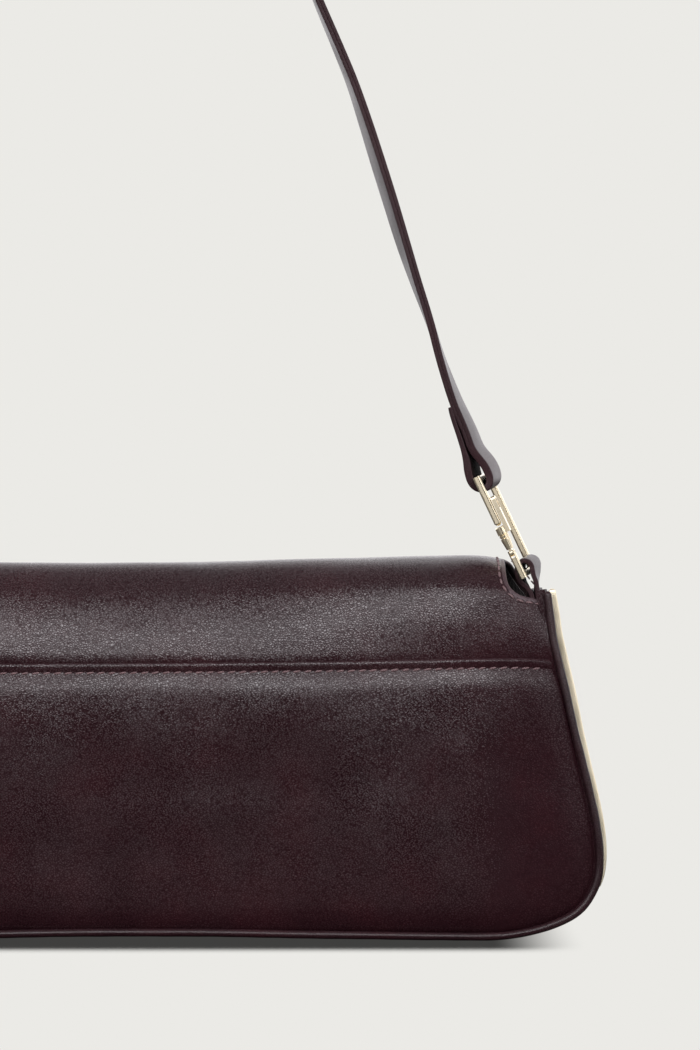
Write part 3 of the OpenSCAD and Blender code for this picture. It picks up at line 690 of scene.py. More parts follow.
xs = np.arange(-140.6, 140.7, 0.5)
lip_line = np.stack([xs, z_lip(xs)], 1)
st = stitch_row("pocket_stitches", surf_pocket, lip_line, -3.5, 3.76, 2.6, 0.4, M_thread, slant=0.2, lift=0.2, fat=lip_fat)
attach(st, "body")

# pocket wall behind the slip pocket


def surf_wall(uv):
    x, z = uv[:, 0], uv[:, 1]
    y = -22.0 + 0.1 * vnoise(x / 40, z / 40, 31)
    return np.stack([x, y, z], 1)


inner_low = seam[seam[:, 1] < 95.5] - seam_n[seam[:, 1] < 95.5] * 0.15
outline = resample(inner_low, 3.0)
wall = sheet("pocket_wall", outline, [False] * len(outline), surf_wall, 1.3, [M_lining], grid=9)
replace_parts(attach(wall, "body"), "back_panel")

# --------------------------------------------------- upper back, fold and flap

sec_a = [(-23.8, 90), (-23.85, 92.4), (-24.1, 93.4), (-24.6, 94.2), (-25.08, 94.9), (-25.33, 95.6), (-25.33, 96.4), (-25.12, 97.6),
         (-24.83, 99.0), (-24.5, 100.5), (-24.15, 102), (-23.66, 104), (-23.08, 106), (-22.42, 108), (-21.66, 110), (-20.84, 112),
         (-19.98, 114), (-19.06, 116), (-18.04, 118), (-16.86, 120), (-15.46, 122), (-13.74, 124), (-11.5, 126), (-8.3, 128.3),
         (-3.4, 130.2), (2, 130.75), (8, 130.6), (14, 129.6),
         (19.2, 127.3), (23.5, 124.2), (26.6, 120.8), (28.6, 116.6), (29.5, 112), (29.85, 106), (29.9, 98), (29.9, 80),
         (29.9, 60), (29.9, 36), (29.9, 30)]
sec_b = [(-23.8, 90), (-23.84, 93), (-23.86, 94.3), (-23.89, 95.2), (-23.92, 96.0), (-24.0, 96.8), (-24.1, 97.6), (-24.13, 98.5),
         (-24.12, 99.5), (-24.06, 100.9), (-23.97, 102.5), (-23.83, 104.7), (-23.7, 107), (-23.56, 109.2), (-23.31, 111.4), (-22.95, 113.5),
         (-22.5, 115.6), (-21.97, 117.7), (-21.35, 119.7), (-20.5, 121.6), (-19.2, 123.4), (-17.2, 125.3), (-14.7, 127.2), (-11.0, 129.4),
         (-4.6, 131.3), (2, 131.8), (8, 131.6), (14.2, 130.4),
         (19.6, 128.2), (24, 125), (27, 121.3), (28.8, 117), (29.6, 112), (29.85, 106), (29.9, 98), (29.9, 80),
         (29.9, 60), (29.9, 36), (29.9, 30)]


class Section:
    """The side view of the fold: place along it to (y, z), the same for both."""

    def __init__(self, pts):
        c = curve(pts, sigma=1.0, step=0.4)
        s = arclen(c)
        # a common parameter: the place of each given point along the curve
        key = []
        for p in pts:
            key.append(s[np.argmin(np.linalg.norm(c - arr(p), axis=1))])
        self.c, self.s, self.key = c, s, arr(key)


A, B = Section(sec_a), Section(sec_b)
B_of_A = gauss1(np.interp(A.s, A.key, B.key), 12)


def sec_at(s, which):
    if which == 0:
        return np.stack([np.interp(s, A.s, A.c[:, 0]), np.interp(s, A.s, A.c[:, 1])], 1)
    sb = np.interp(s, A.s, B_of_A)
    return np.stack([np.interp(sb, B.s, B.c[:, 0]), np.interp(sb, B.s, B.c[:, 1])], 1)


crown_i = int(np.argmax(A.c[:, 1]))
S_CROWN = A.s[crown_i]
S_SPLIT = float(np.interp(3.0, A.c[:crown_i + 60, 0], A.s[:crown_i + 60]))


def s_back(z):
    k = crown_i
    return float(np.interp(z, A.c[:k, 1], A.s[:k]))


def s_front(z):
    k = crown_i + 5
    return float(np.interp(-z, -A.c[k:, 1], A.s[k:]))


def s_y(y):
    k = int(np.argmax(A.c[:, 0] > 28))
    return float(np.interp(y, A.c[:k, 0], A.s[:k]))


def base_roll(uv):
    x, s = uv[:, 0], uv[:, 1]
    w = smoothstep(30, 122, np.abs(x))[:, None]
    a, b = sec_at(s, 0), sec_at(s, 1)
    p = a * (1 - w) + b * w
    y, z = p[:, 0], p[:, 1]
    crown = A.c[crown_i, 1] * (1 - w[:, 0]) + B.c[:, 1].max() * w[:, 0]
    dz = z_top(x) - crown
    front = smoothstep(S_CROWN + 8, S_CROWN + 34, s)
    z = z + dz * smoothstep(104, 127, z) * (1 - front)
    return np.stack([x, y, z], 1)


def roll_relief(x, s):
    r = 0.42 * vnoise(x / 58, s / 26, 11) + 0.16 * vnoise(x / 24, s / 12, 12) + 0.04 * vnoise(x / 9, s / 4.5, 13)
    back = smoothstep(10, 22, s)
    front = 1 - 0.6 * smoothstep(S_CROWN + 40, S_CROWN + 70, s)
    # soft pulls that fan out from the notch
    ax = np.abs(x)
    q = np.hypot(ax - 135, (s - s_back(123)) * 1.0)
    ang = np.arctan2(s - s_back(123), ax - 135)
    pull = 0.22 * np.sin(ang * 7 + 1.3) * np.exp(-((q - 14) / 9) ** 2) * (s < S_CROWN + 10)
    edge = 1.1 * np.exp(-np.clip(138.5 - ax, 0, None) / 6.5) * (s < S_CROWN)
    return r * back * front + (pull - edge) * back


def surf_roll(uv):
    p = base_roll(uv)
    e = 0.3
    t = base_roll(uv + arr([0, e])) - base_roll(uv - arr([0, e]))
    n = unit(np.stack([np.zeros(len(t)), -t[:, 2], t[:, 1]], 1))
    return p + n * roll_relief(uv[:, 0], uv[:, 1])[:, None]


def mirror_outline(half):
    """half: right side from bottom to top; returns it as it is."""
    return half


def s_on_back(x, z):
    """The place along the section where the back reaches height z at x."""
    s_ = np.linspace(0, S_CROWN, 300)
    q = base_roll(np.stack([np.full(300, float(x)), s_], 1))
    return float(np.interp(z, q[:, 2], s_))


# piece 1: from behind the lip, up the back and over to the crown
NX = 125.6
zs = np.arange(90.5, 117.8, 1.0)
side1 = [(float(seam_x(z)) - 0.25, s_on_back(seam_x(z), z)) for z in zs]
notch_xz = [(138.0, 118.3), (135.8, 118.5), (133.7, 118.75), (131.7, 119.15), (129.6, 119.85), (128.0, 120.9), (126.9, 122.3),
            (126.2, 124.3), (125.9, 126.2), (125.8, 128.4), (125.8, 130.3)]
notch_pts = [(x_, s_on_back(x_, z_)) for x_, z_ in notch_xz] + [(125.7, S_SPLIT - 2), (NX, S_SPLIT)]
notch1 = curve(notch_pts, sigma=1.0, step=0.5)
side1 = resample(side1, 2.0)
notch1r = resample(notch1, 1.4)
top = resample([(NX, S_SPLIT), (-NX, S_SPLIT)], 2.4)[1:-1]
flipx = arr([-1, 1])
left1 = np.vstack([side1, notch1r])[::-1] * flipx
bot = resample([(-side1[0, 0], side1[0, 1]), (side1[0, 0], side1[0, 1])], 3.0)[1:-1]
outline = np.vstack([side1, notch1r, top, left1, bot])
free = np.concatenate([[False] * len(side1), [True] * len(notch1r), [False] * len(top),
                       [True] * len(notch1r), [False] * len(side1), [False] * len(bot)])
band_line = np.vstack([notch1])
roll1 = sheet("back_and_fold", outline, free, surf_roll, 1.4, [M_leather, M_bound, M_suede], grid=2.6,
              rings=[0.1, 0.32, 0.7, 1.15, 1.6, 2.6])


def paint_band(ob, line, width, slot_i, side=1):
    """Gives the faces within width of a 3-D line the material slot_i."""
    me = ob.data
    cen = np.zeros(len(me.polygons) * 3)
    me.polygons.foreach_get("center", cen)
    cen = cen.reshape(-1, 3) * 1000
    idx = np.zeros(len(me.polygons), np.int32)
    me.polygons.foreach_get("material_index", idx)
    d = dist_to(cen, line)
    idx[d < width] = slot_i
    me.polygons.foreach_set("material_index", idx)


for sg in (1, -1):
    line3 = surf_roll(notch1 * arr([sg, 1]))
    paint_band(roll1, line3, 1.65, 1)
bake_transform(roll1)
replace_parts(roll1, "upper_back_panel", "flap_top")

# piece 2: from the crown down the front to the flap's lower edge
front_pts = [(NX, S_SPLIT), (126.3, s_y(5.5)), (128.0, s_y(9)), (129.2, s_y(13)), (130.2, s_y(17.5)), (131.8, s_y(21.5)),
             (134.2, s_y(25.2)), (136.4, s_front(119.3)), (137.2, s_front(116)), (137.6, s_front(110)), (138.6, s_front(100)),
             (140.5, s_front(88.7)), (142.5, s_front(77)), (142.9, s_front(70)), (142.4, s_front(62)), (140.0, s_front(54)),
             (134.5, s_front(46)), (125.0, s_front(40.6)), (113.0, s_front(38.3)), (93.0, s_front(37)), (63.0, s_front(36.5)), (0, s_front(36.2))]
side2 = curve(front_pts, sigma=1.3, step=0.5)
side2[0] = (NX, S_SPLIT)
side2[-1, 0] = 0.0
r2 = resample(side2, 1.8)
# the outline runs down on the right, so it is turned to run counter-clockwise
top2 = resample([(NX, S_SPLIT), (-NX, S_SPLIT)], 2.4)[1:-1]
loop = np.vstack([(r2 * flipx)[:-1], r2[::-1], top2])
free = np.concatenate([[True] * (len(r2) - 1), [True] * len(r2), [False] * len(top2)])


def ccw(loop, free):
    x, y = loop[:, 0], loop[:, 1]
    a = np.sum(x * np.roll(y, -1) - np.roll(x, -1) * y)
    return (loop, free) if a > 0 else (loop[::-1], free[::-1])


loop, free = ccw(loop, free)
roll2 = sheet("flap_leather", loop, free, surf_roll, 1.4, [M_leather, M_bound, M_suede], grid=2.8,
              rings=[0.1, 0.32, 0.7, 1.15, 1.6, 2.6])
for sg in (1, -1):
    line3 = surf_roll(side2 * arr([sg, 1]))
    paint_band(roll2, line3, 1.65, 1)
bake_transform(roll2)
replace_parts(roll2, "flap_front")

for sg, nm in ((1, "right"), (-1, "left")):
    ln = notch1 * arr([sg, 1])
    if sg < 0:
        ln = ln[::-1]
    st = stitch_row("notch_stitches_" + nm, surf_roll, ln, 2.65, 3.3, 2.4, 0.42, M_thread, lift=0.2)
    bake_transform(st)
whole2 = np.vstack([side2[:-1] * flipx, side2[::-1]])
# inwards is to the left of a line that runs counter-clockwise
st = stitch_row("flap_stitches", surf_roll, whole2, 2.65, 3.4, 2.2, 0.34, M_thread, lift=0.12)
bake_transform(st)

# linings of the fold and the flap


def shrink(loop, d):
    t = unit(np.roll(loop, -1, 0) - np.roll(loop, 1, 0))
    return loop + np.stack([-t[:, 1], t[:, 0]], 1) * d


def surf_roll_plain(uv):
    p = base_roll(uv)
    e = 0.3
    t = base_roll(uv + arr([0, e])) - base_roll(uv - arr([0, e]))
    n = unit(np.stack([np.zeros(len(t)), -t[:, 2], t[:, 1]], 1))
    return p + n * (roll_relief(uv[:, 0], uv[:, 1]) - 1.55)[:, None]


hl = [(122.6, s_back(120.5)), (122.8, s_back(125)), (122.8, S_SPLIT)]
hl = resample(hl, 3.0)
topl = resample([(122.8, S_SPLIT), (-122.8, S_SPLIT)], 5)[1:-1]
botl = resample([(-122.6, s_back(120.5)), (122.6, s_back(120.5))], 5)[1:-1]
loop = np.vstack([hl, topl, hl[::-1] * flipx, botl])
lin1 = sheet("fold_lining", loop, [False] * len(loop), surf_roll_plain, 0.5, [M_lining], grid=6, rings=[0.5, 2.0])
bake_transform(lin1)
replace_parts(lin1, "flap_top_lining")
r2s = resample(side2, 2.4)
ins = np.vstack([(r2s * flipx)[:-1], r2s[::-1]])
ins = shrink(ins, -2.4)[2:-2]
loop = np.vstack([ins, resample([(ins[-1, 0], S_SPLIT), (ins[0, 0], S_SPLIT)], 5)])
loop, _f = ccw(loop, loop)
lin2 = sheet("flap_lining", loop, [False] * len(loop), surf_roll_plain, 0.5, [M_lining], grid=6, rings=[0.5, 2.0])
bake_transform(lin2)
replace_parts(lin2, "flap_front_lining")

# ---------------------------------------------------------------- front panel


def surf_front(uv):
    x, z = uv[:, 0], -uv[:, 1]
    ds = dist_to(np.stack([x, z], 1), seam)
    y = 28.0 - z * TAN - 1.3 * np.exp(-ds / 2.3)
    y = y + 0.45 * soft_relief(x, z, 41) * smoothstep(2, 14, ds) * smoothstep(8, 20, np.hypot(x, z - 56))
    return np.stack([x, y, z], 1)


lowf = keep_z(seam, 112.6)
lf = resample(lowf, 2.4)
tf = resample([(lf[-1, 0], lf[-1, 1]), (lf[0, 0], lf[0, 1])], 3.0)[1:-1]
loop = np.vstack([lf, tf]) * arr([1, -1])
free = np.concatenate([[False] * len(lf), [True] * len(tf)])
loop, free = ccw(loop, free)
frontp = sheet("front_wall", loop, free, surf_front, 1.4, [M_leather, M_edge, M_suede], grid=4.0)
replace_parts(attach(frontp, "body"), "front_panel")
st = stitch_row("front_stitches", surf_front, np.stack([np.arange(-135, 135.1, 0.5), np.full(541, -112.4)], 1), 2.4, 3.6, 2.4, 0.34, M_thread, lift=0.12)
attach(st, "body")

# ------------------------------------------------------ gusset band and piping


def gus_d(z):
    """How far the gusset stands out from the seam, next to the piping."""
    return 2.0 - 0.8 * np.clip((z - 3) / 22, 0, 1)


GUS_B = Table([(8, 0.0), (14, 0.5), (20, 1.2), (27, 1.5), (60, 1.55), (70, 1.75), (78, 2.0), (94, 2.05), (102, 2.15), (111, 2.05), (120, 1.5)], sigma=2.5)


def gus_b(z):
    """How much further its middle swells out, by height."""
    return np.clip(GUS_B(z), 0, 3)


def z_gus(y):
    """Height of the gusset's top edge across its depth."""
    a = np.abs(y)
    dip = 118.6 - np.sqrt(np.clip(6.3 ** 2 - (a - 12.8) ** 2, 0, None))
    top = np.where(a < 6.5, 118.9, 121.2)
    return np.where(np.abs(a - 12.8) < 6.3, dip, top)


g_line = resample(seam[seam[:, 1] < 121.6], 2.2)
g_n = outward(g_line)
rings_ = []
ny = 27
for p, n2 in zip(g_line, g_n):
    z = p[1]
    y0 = float(y_pipe(z)) + 0.9
    y1 = 28.0 - z * TAN - 0.9 - 0.6
    dd = float(gus_d(z))
    ring_out, ring_in = [], []
    for k in range(ny):
        f = k / (ny - 1)
        y = y0 + (y1 - y0) * f
        edge = min(y - y0, y1 - y)
        o = dd - 0.65 * math.exp(-edge / 0.8) + float(gus_b(z)) * math.sin(math.pi * f) ** 0.8
        q = p + n2 * o
        ring_out.append((q[0], y, q[1]))
        rimmed = 1.55 * float(smoothstep(110, 117, z)) * float(smoothstep(9.5, 7.0, edge))
        q = p + n2 * (o - 1.4 - rimmed)
        ring_in.append((q[0], y, q[1]))
    rings_.append(ring_out + ring_in[::-1])
rings_ = arr(rings_)
zz = rings_[:, :, 2]
zt = z_gus(rings_[:, :, 1])
over = np.clip((zz - 106) / (121.6 - 106), 0, 1)
rings_[:, :, 2] = np.where(zz > 106, 106 + over * (zt - 106), zz)
gus = loft("gusset_band", rings_, [M_leather, M_bound], sharp=50)
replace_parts(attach(gus, "body"), "gusset_left", "gusset_right", "base_panel")


def pipe_piece(name, yfun, zmax, r, replaces):
    line = resample(seam[seam[:, 1] < zmax], 1.6)
    nn = outward(line)
    c = line + nn * 1.25
    y = yfun(line[:, 1])
    rings = []
    for i in range(len(c)):
        w = r * (1 + 0.02 * math.sin(i * 0.9) + 0.015 * math.sin(i * 0.37 + 1))
        ring = []
        for k in range(20):
            a = 2 * math.pi * k / 20
            ring.append((c[i, 0] + nn[i, 0] * w * math.cos(a), y[i] + w * math.sin(a), c[i, 1] + nn[i, 1] * w * math.cos(a)))
        rings.append(ring)
    rings = arr(rings)
    # rounded ends
    for end in (0, -1):
        cen = rings[end].mean(0)
        nb = rings[1 if end == 0 else -2].mean(0)
        d = unit(cen - nb)
        extra = []
        for a in (0.35, 0.7, 1.0, 1.25, 1.45):
            extra.append(cen + (rings[end] - cen) * math.cos(a) + d * r * math.sin(a))
        extra = arr(extra)
        rings = np.vstack([extra[::-1], rings]) if end == 0 else np.vstack([rings, extra])
    ob = loft(name, rings, [M_piping])
    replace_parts(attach(ob, "body"), replaces)
    return ob


pipe_piece("back_piping", y_pipe, 119.2, 1.36, "piping_back")
pipe_piece("front_piping", lambda z: 28.0 - z * TAN + 0.2, 111.5, 1.36, "piping_front")

# -------------------------------------------------------------------- linings


def flat_piece(name, loop, surf, t, body, mat, replaces, grid=8, flip=False):
    loop, _ = ccw(arr(loop), arr(loop))
    ob = sheet(name, loop, [False] * len(loop), surf, t, [mat], grid=grid, rings=[0.6, 2.5], flip=flip)
    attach(ob, body)
    if replaces:
        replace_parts(ob, *replaces)
    return ob


def surf_lb(uv):
    x, z = uv[:, 0], uv[:, 1]
    y = -20.4 + 0.35 * (1 + vnoise(x / 26, z / 40, 51)) * 0.5 + 3.2 * smoothstep(99, 112, z)
    return np.stack([x, y, z], 1)


sel = (seam[:, 1] < 112.0)
lb = resample(seam[sel] - seam_n[sel] * 1.0, 4.0)
flat_piece("back_lining", lb, surf_lb, 0.5, "body", M_lining, ["lining_back"])


def surf_lf(uv):
    x, z = uv[:, 0], -uv[:, 1]
    y = 28.0 - z * TAN - 1.6 - 0.3 * (1 + vnoise(x / 26, z / 40, 52)) * 0.5
    return np.stack([x, y, z], 1)


sel = (seam[:, 1] < 111.6)
lf2 = resample(seam[sel] - seam_n[sel] * 1.7, 4.0) * arr([1, -1])
flat_piece("front_lining", lf2, surf_lf, 0.5, "body", M_lining, ["lining_front"])

line = resample(seam[seam[:, 1] < 109], 4.0)
nn = outward(line)
rings_ = []
for p, n2 in zip(line, nn):
    z = p[1]
    y0, y1 = -19.7, 28.0 - z * TAN - 2.5
    o, i_ = [], []
    for k in range(9):
        y = y0 + (y1 - y0) * k / 8
        wob = 0.25 * float(vnoise(y / 14 + 3, (p[0] + z) / 30, 53))
        q = p - n2 * (0.95 + 0.15 * wob)
        o.append((q[0], y, q[1]))
        q = p - n2 * (1.45 + 0.15 * wob)
        i_.append((q[0], y, q[1]))
    rings_.append(o + i_[::-1])
lg = loft("gusset_lining", rings_, [M_lining], sharp=50)
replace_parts(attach(lg, "body"), "lining_gusset")


def surf_ip(uv):
    x, z = uv[:, 0], -uv[:, 1]
    d = np.minimum(np.minimum(60 - np.abs(x), z - 34), 200)
    y = -19.7 + 5.5 * smoothstep(0, 5, d) + 0.3 * vnoise(x / 18, z / 22, 61) * smoothstep(3, 12, d)
    return np.stack([x, y, z], 1)


ip = resample([(-60, -34), (60, -34), (60, -94), (-60, -94)], 3.0, closed=True)
ipo = flat_piece("slip_pocket", ip, surf_ip, 0.7, "body", M_lining, ["inner_pocket"], grid=4)

# ------------------------------------------------------------------- side bars


def bar_piece(sg, nm):
    sel = seam[(seam[:, 0] > 118) & (seam[:, 1] > 18.4) & (seam[:, 1] < 119.8)]
    line = resample(sel, 1.6)
    nn = outward(line)
    z = line[:, 1]
    off_in = np.array([float(gus_d(v)) + float(gus_b(v)) for v in z]) + 0.02
    rings = []
    m = len(line)
    w, t = 8.0, 2.25
    prof = []
    # section across: (y, outwards), with rounded corners
    for cy, co, a0 in ((w / 2 - 0.55, t - 0.55, 0), (-(w / 2 - 0.55), t - 0.55, 90), (-(w / 2 - 0.3), 0.3, 180), (w / 2 - 0.3, 0.3, 270)):
        rad = 0.55 if co > 1 else 0.3
        for k in range(6):
            a = math.radians(a0 + 18 * k)
            prof.append((cy + rad * math.cos(a), co + rad * math.sin(a)))
    prof = arr(prof)
    for i in range(m):
        ring = []
        for (y, o) in prof:
            q = line[i] + nn[i] * (off_in[i] + o)
            ring.append((sg * q[0], y, q[1]))
        rings.append(ring)
    rings = arr(rings)
    for end in (0, -1):
        cen = rings[end].mean(0)
        nb = rings[1 if end == 0 else -2].mean(0)
        d = unit(cen - nb)
        rr = 0.5 if end == 0 else 1.1
        extra = []
        for a in (0.3, 0.6, 0.9, 1.15, 1.35):
            k = 1 - (1 - math.cos(a)) * rr / 1.1
            extra.append(cen + (rings[end] - cen) * arr([k, 1 - (1 - math.cos(a)) * rr / 4, k]) + d * rr * math.sin(a))
        extra = arr(extra)
        rings = np.vstack([extra[::-1], rings]) if end == 0 else np.vstack([rings, extra])
    ob = loft("end_bar_" + nm, rings, [M_bar], sharp=40)
    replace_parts(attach(ob, "body"), "side_bar_" + nm)


bar_piece(1, "right")
bar_piece(-1, "left")

# ------------------------------------------------------------------------ tabs

TURN, LEAN = 12.7, 25.3


def rib_section(w, t, r=0.35, crown=0.0):
    """Corners of a flat strip's section as (across, through)."""
    out = []
    for cx, cy, a0 in ((w / 2 - r, t / 2 - r, 0), (-(w / 2 - r), t / 2 - r, 90), (-(w / 2 - r), -(t / 2 - r), 180), (w / 2 - r, -(t / 2 - r), 270)):
        for k in range(5):
            a = math.radians(a0 + 22.5 * k)
            out.append((cx + r * math.cos(a), cy + r * math.sin(a)))
        if a0 in (0, 180) and crown >= 0:
            sgn = 1 if a0 == 0 else -1
            for f in (0.75, 0.45, 0.15, -0.15, -0.45, -0.75):
                x = f * (w / 2 - r) * sgn
                out.append((x, sgn * (t / 2 + crown * (1 - f * f))))
    return arr(out)


def ribbon(name, path, turn, thick, width, mats, lean=None, mirror=1, crown=0.08, r=0.35, shift=0.0):
    """path: (n, 2) centre line in x and z; turn and thick per point."""
    path = arr(path)
    n = len(path)
    t2 = frames_along(path)
    T = np.stack([t2[:, 0], np.zeros(n), t2[:, 1]], 1)
    rings = []
    for i in range(n):
        a = math.radians(turn[i])
        if lean is None:
            m = arr([T[i, 2], 0, -T[i, 0]])
        else:
            m = arr([math.cos(math.radians(lean)), 0, math.sin(math.radians(lean))])
        u = math.sin(a) * m + math.cos(a) * arr([0, 1, 0])
        nn_ = unit(np.cross(u, T[i]))
        sec = rib_section(width[i], thick[i], min(r, thick[i] * 0.4), crown)
        c = arr([path[i, 0], 0, path[i, 1]])
        ring = c + sec[:, :1] * u + (sec[:, 1:2] + shift) * nn_
        rings.append(ring * arr([mirror, 1, 1]))
    m = len(sec)
    # slot 1 for the cut edges
    index = []
    for k in range(m):
        a_, b_ = sec[k], sec[(k + 1) % m]
        mid = (a_ + b_) / 2
        index.append(1 if abs(mid[0]) > width[0] / 2 - 0.25 else (2 if len(mats) > 2 and mid[1] > 0 else 0))
    return loft(name, rings, mats, index=index, sharp=45)


tab_c = arr([133.8, 128.95])
arch = [(tab_c[0] + 2.65 * math.cos(math.radians(a)), tab_c[1] + 2.65 * math.sin(math.radians(a))) for a in range(180, -1, -15)]
tab_pts = [(136.6, 104.0), (136.2, 110), (135.6, 115), (134.8, 119.0), (133.7, 121.4), (132.5, 122.9), (131.5, 124.7), (131.15, 126.8)] + arch + \
          [(136.6, 126.4), (136.75, 124.4), (136.85, 122.4), (137.0, 119.0), (137.3, 114), (137.8, 108), (138.3, 103.5)]
tab_turn = [0, 0, 0, 0, 2, 5, 9, 12] + [12.7] * len(arch) + [10, 5, 2, 0, 0, 0, 0]
tp = curve(tab_pts, sigma=0.35, step=0.35)
key = arclen(arr(tab_pts))
tt = np.interp(arclen(tp) / arclen(tp)[-1], key / key[-1], tab_turn)
for sg, nm in ((1, "right"), (-1, "left")):
    tab = ribbon("ring_tab_" + nm, tp, tt, np.full(len(tp), 1.7), np.full(len(tp), 15.0), [M_strap, M_edge, M_shaded_inside], lean=LEAN, mirror=sg, crown=0.03, r=0.3)
    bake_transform(tab)
    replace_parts(tab, "tab_" + nm, "tab_anchor_" + nm)

# ----------------------------------------------------------------------- strap

strap_half = [(115.05, 171.85, 12.3), (114.35, 173.9, 12.0), (113.60, 175.8, 11.8), (111.40, 180.8, 10.8), (108.50, 187, 9.3), (103.50, 201, 4.5),
              (99.30, 215, 0.6), (94.40, 229, -3.3), (89.80, 243, -6.7), (85.50, 257, -7.7), (81.10, 271, -7.6),
              (76.70, 285, -6.2), (72.00, 299, -4), (66.30, 313, -2.6), (60.50, 326.7, -1.4)]
arch = [(64 * math.cos(math.radians(a)), 309 + 64 * math.sin(math.radians(a)), 0) for a in np.arange(33, 148, 9.5)]
whole = strap_half + arch + [(-x, z, t) for x, z, t in strap_half[::-1]]
sp = curve(whole, sigma=2.0, step=1.5)
sp[0, :2], sp[-1, :2] = whole[0][:2], whole[-1][:2]
# near the ends it carries the sewn loop; the two layers show as a fine line
ns = len(sp)
cut = 0.0
outer_strap = ribbon("strap_outer_layer", sp[:, :2], sp[:, 2], np.full(ns, 1.42), np.full(ns, 17.4), [M_strap, M_edge], crown=0.12, r=0.3, shift=0.66)
inner_strap = ribbon("strap_inner_layer", sp[:, :2], sp[:, 2], np.full(ns, 1.36), np.full(ns, 17.3), [M_strap, M_edge], crown=0.05, r=0.3, shift=-0.68)
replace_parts(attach(outer_strap, "strap"), "strap_outer")
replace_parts(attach(inner_strap, "strap"), "strap_inner")

# loops at the strap's ends: the line of the near edge, moved to the middle
loop_pts = [(113.30, 171.25, 2.75), (114.05, 169.55, 2.75), (115.35, 167.75, 2.7), (116.85, 166.0, 2.7), (118.15, 164.25, 2.75), (119.15, 162.4, 2.75),
            (119.85, 160.7, 2.7), (120.15, 158.95, 2.6), (119.75, 157.3, 2.45), (118.7, 156.2, 2.3), (117.3, 155.8, 2.25), (115.85, 156.1, 2.35),
            (114.4, 157.2, 2.55), (113.4, 158.9, 2.7), (112.8, 160.9, 2.75), (112.4, 162.9, 2.75), (111.95, 165.9, 2.5), (111.0, 169.4, 1.95), (109.85, 173.0, 1.8),
            (108.6, 176.5, 1.7), (107.35, 180.0, 1.65), (106.45, 182.9, 1.6), (106.15, 184.3, 1.5)]
lp = arr(loop_pts)
dx = 8.7 * math.sin(math.radians(TURN))
lp[:, 0] += dx * math.cos(math.radians(LEAN))
lp[:, 1] += dx * math.sin(math.radians(LEAN))
lc = curve(lp, sigma=0.5, step=0.4)
lturn = np.interp(arclen(lc[:, :2]) / arclen(lc[:, :2])[-1], [0, 0.12, 0.75, 0.9, 1.0], [12.2, TURN, TURN, 11.8, 11.2])
for sg, nm in ((1, "right"), (-1, "left")):
    lo_ = ribbon("strap_loop_" + nm, lc[:, :2], lturn, lc[:, 2], np.full(len(lc), 17.4), [M_strap, M_edge, M_shaded_inside], lean=LEAN, mirror=sg, crown=0.08, r=0.35)
    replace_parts(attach(lo_, "strap"), "strap_end_" + nm)

# ---------------------------------------------------------- floor, world, light

bg = (0.8308, 0.8228, 0.7913)
me = bpy.data.meshes.new("floor")
me.from_pydata([(-1.3, -0.6, 0), (1.3, -0.6, 0), (1.3, 2.2, 0), (-1.3, 2.2, 0)], [], [(0, 1, 2, 3)])
floor = bpy.data.objects.new("floor", me)
scene.collection.objects.link(floor)
fm = bpy.data.materials.new("pale_floor")
fm.use_nodes = True
nt = fm.node_tree
nt.nodes.clear()
out = nt.nodes.new("ShaderNodeOutputMaterial")
# The floor glows evenly in the backdrop colour, and at 0.19 of that to everything but the camera. Painted shadow: the
# glow is darkened where ambient occlusion finds the bag close by, faded out between |x| 120 and 153 mm, so the bag's
# shadow on the floor is painted into the floor's colour.
ao = add(nt, "ShaderNodeAmbientOcclusion", {"Distance": 0.055}, samples=24)
ax_ = mathn(nt, "ABSOLUTE", add(nt, "ShaderNodeSeparateXYZ", {0: add(nt, "ShaderNodeTexCoord").outputs["Object"]}).outputs[0])
shade = maprange(nt, ao.outputs["AO"], 0.78, 0.965, 0.94, 0.0)
shade = mathn(nt, "MULTIPLY", shade, maprange(nt, ax_, 0.120, 0.153, 1.0, 0.0))
aov = mathn(nt, "SUBTRACT", 1.0, shade)
lp_ = add(nt, "ShaderNodeLightPath")
cam_e = add(nt, "ShaderNodeEmission", {"Color": (*bg, 1.0), "Strength": aov})
other = add(nt, "ShaderNodeEmission", {"Color": (*bg, 1.0), "Strength": mathn(nt, "MULTIPLY", aov, 0.19)})
mixs = add(nt, "ShaderNodeMixShader", {0: lp_.outputs["Is Camera Ray"], 1: other.outputs[0], 2: cam_e.outputs[0]})
nt.links.new(mixs.outputs[0], out.inputs[0])
me.materials.append(fm)

world = bpy.data.worlds.new("studio")
scene.world = world
world.use_nodes = True
nt = world.node_tree
nt.nodes.clear()
wout = nt.nodes.new("ShaderNodeOutputWorld")
tc = add(nt, "ShaderNodeTexCoord").outputs["Generated"]
sep = add(nt, "ShaderNodeSeparateXYZ", {0: tc})
X, Y, Z = sep.outputs
elev = mathn(nt, "MULTIPLY", mathn(nt, "ARCSINE", Z), 57.29578)
azi = mathn(nt, "MULTIPLY", mathn(nt, "ARCTAN2", X, mathn(nt, "MULTIPLY", Y, -1.0)), 57.29578)
azi_a = mathn(nt, "ABSOLUTE", azi)


def band(v, a, b, c, d):
    up = maprange(nt, v, a, b, 0.0, 1.0)
    dn = maprange(nt, v, c, d, 1.0, 0.0)
    return mathn(nt, "MULTIPLY", up, dn)


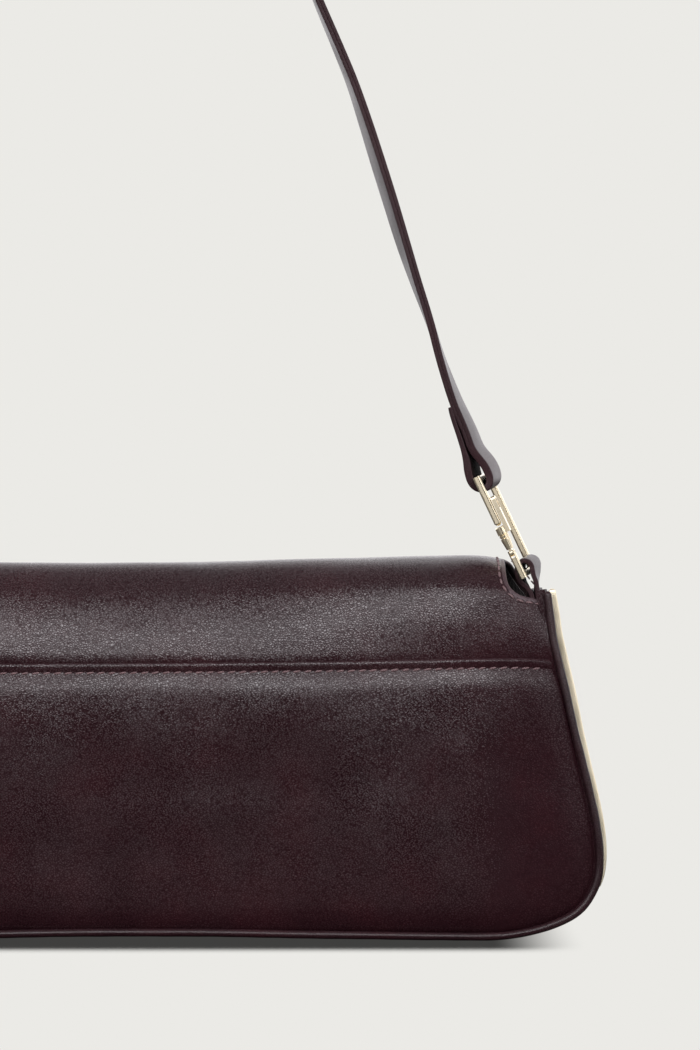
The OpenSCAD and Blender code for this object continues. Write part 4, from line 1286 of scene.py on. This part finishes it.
soft = mathn(nt, "MULTIPLY", band(elev, 16.0, 25.0, 33.0, 46.0), band(azi_a, -2.0, -1.0, 34.0, 64.0))
back = mathn(nt, "MULTIPLY", band(elev, -8.0, 2.0, 38.0, 70.0), maprange(nt, azi_a, 95.0, 120.0, 0.0, 1.0))
side = mathn(nt, "MULTIPLY", band(elev, -30.0, -12.0, 30.0, 60.0), band(azi_a, 40.0, 58.0, 96.0, 112.0))
ceil = maprange(nt, elev, 46.0, 75.0, 0.0, 1.0)
rim = mathn(nt, "MULTIPLY", band(elev, -14.0, -3.0, 20.0, 36.0), maprange(nt, azi_a, 112.0, 136.0, 0.0, 1.0))
strip = mathn(nt, "MULTIPLY", band(elev, -24.0, -10.0, 8.0, 20.0), band(azi_a, 17.0, 23.0, 29.0, 36.0))
lum = mathn(nt, "MULTIPLY", soft, 8.2)
lum = mathn(nt, "ADD", lum, mathn(nt, "MULTIPLY", rim, 0.45))
lum = mathn(nt, "ADD", lum, mathn(nt, "MULTIPLY", strip, 1.2))
lum = mathn(nt, "ADD", lum, mathn(nt, "MULTIPLY", back, 1.1))
lum = mathn(nt, "ADD", lum, mathn(nt, "MULTIPLY", side, 0.9))
lum = mathn(nt, "ADD", lum, mathn(nt, "MULTIPLY", ceil, 0.6))
lum = mathn(nt, "ADD", lum, 0.045)
bg1 = add(nt, "ShaderNodeBackground", {"Color": (0.985, 0.965, 0.99, 1.0), "Strength": lum})
bg2 = add(nt, "ShaderNodeBackground", {"Color": (*bg, 1.0), "Strength": 1.0})
lpw = add(nt, "ShaderNodeLightPath")
mixw = add(nt, "ShaderNodeMixShader", {0: lpw.outputs["Is Camera Ray"], 1: bg1.outputs[0], 2: bg2.outputs[0]})
nt.links.new(mixw.outputs[0], wout.inputs[0])

scene.view_settings.view_transform = "Standard"
scene.view_settings.look = "None"

cam = bpy.data.cameras.new("camera")
cam.sensor_fit = "HORIZONTAL"
cam.sensor_width = 36
cam.lens = 238.6
cam.clip_start, cam.clip_end = 0.1, 20
co = bpy.data.objects.new("camera", cam)
co.location = (0.0714, -1.628, 0.1434)
co.rotation_euler = (math.radians(90), 0, 0)
scene.collection.objects.link(co)
scene.camera = co

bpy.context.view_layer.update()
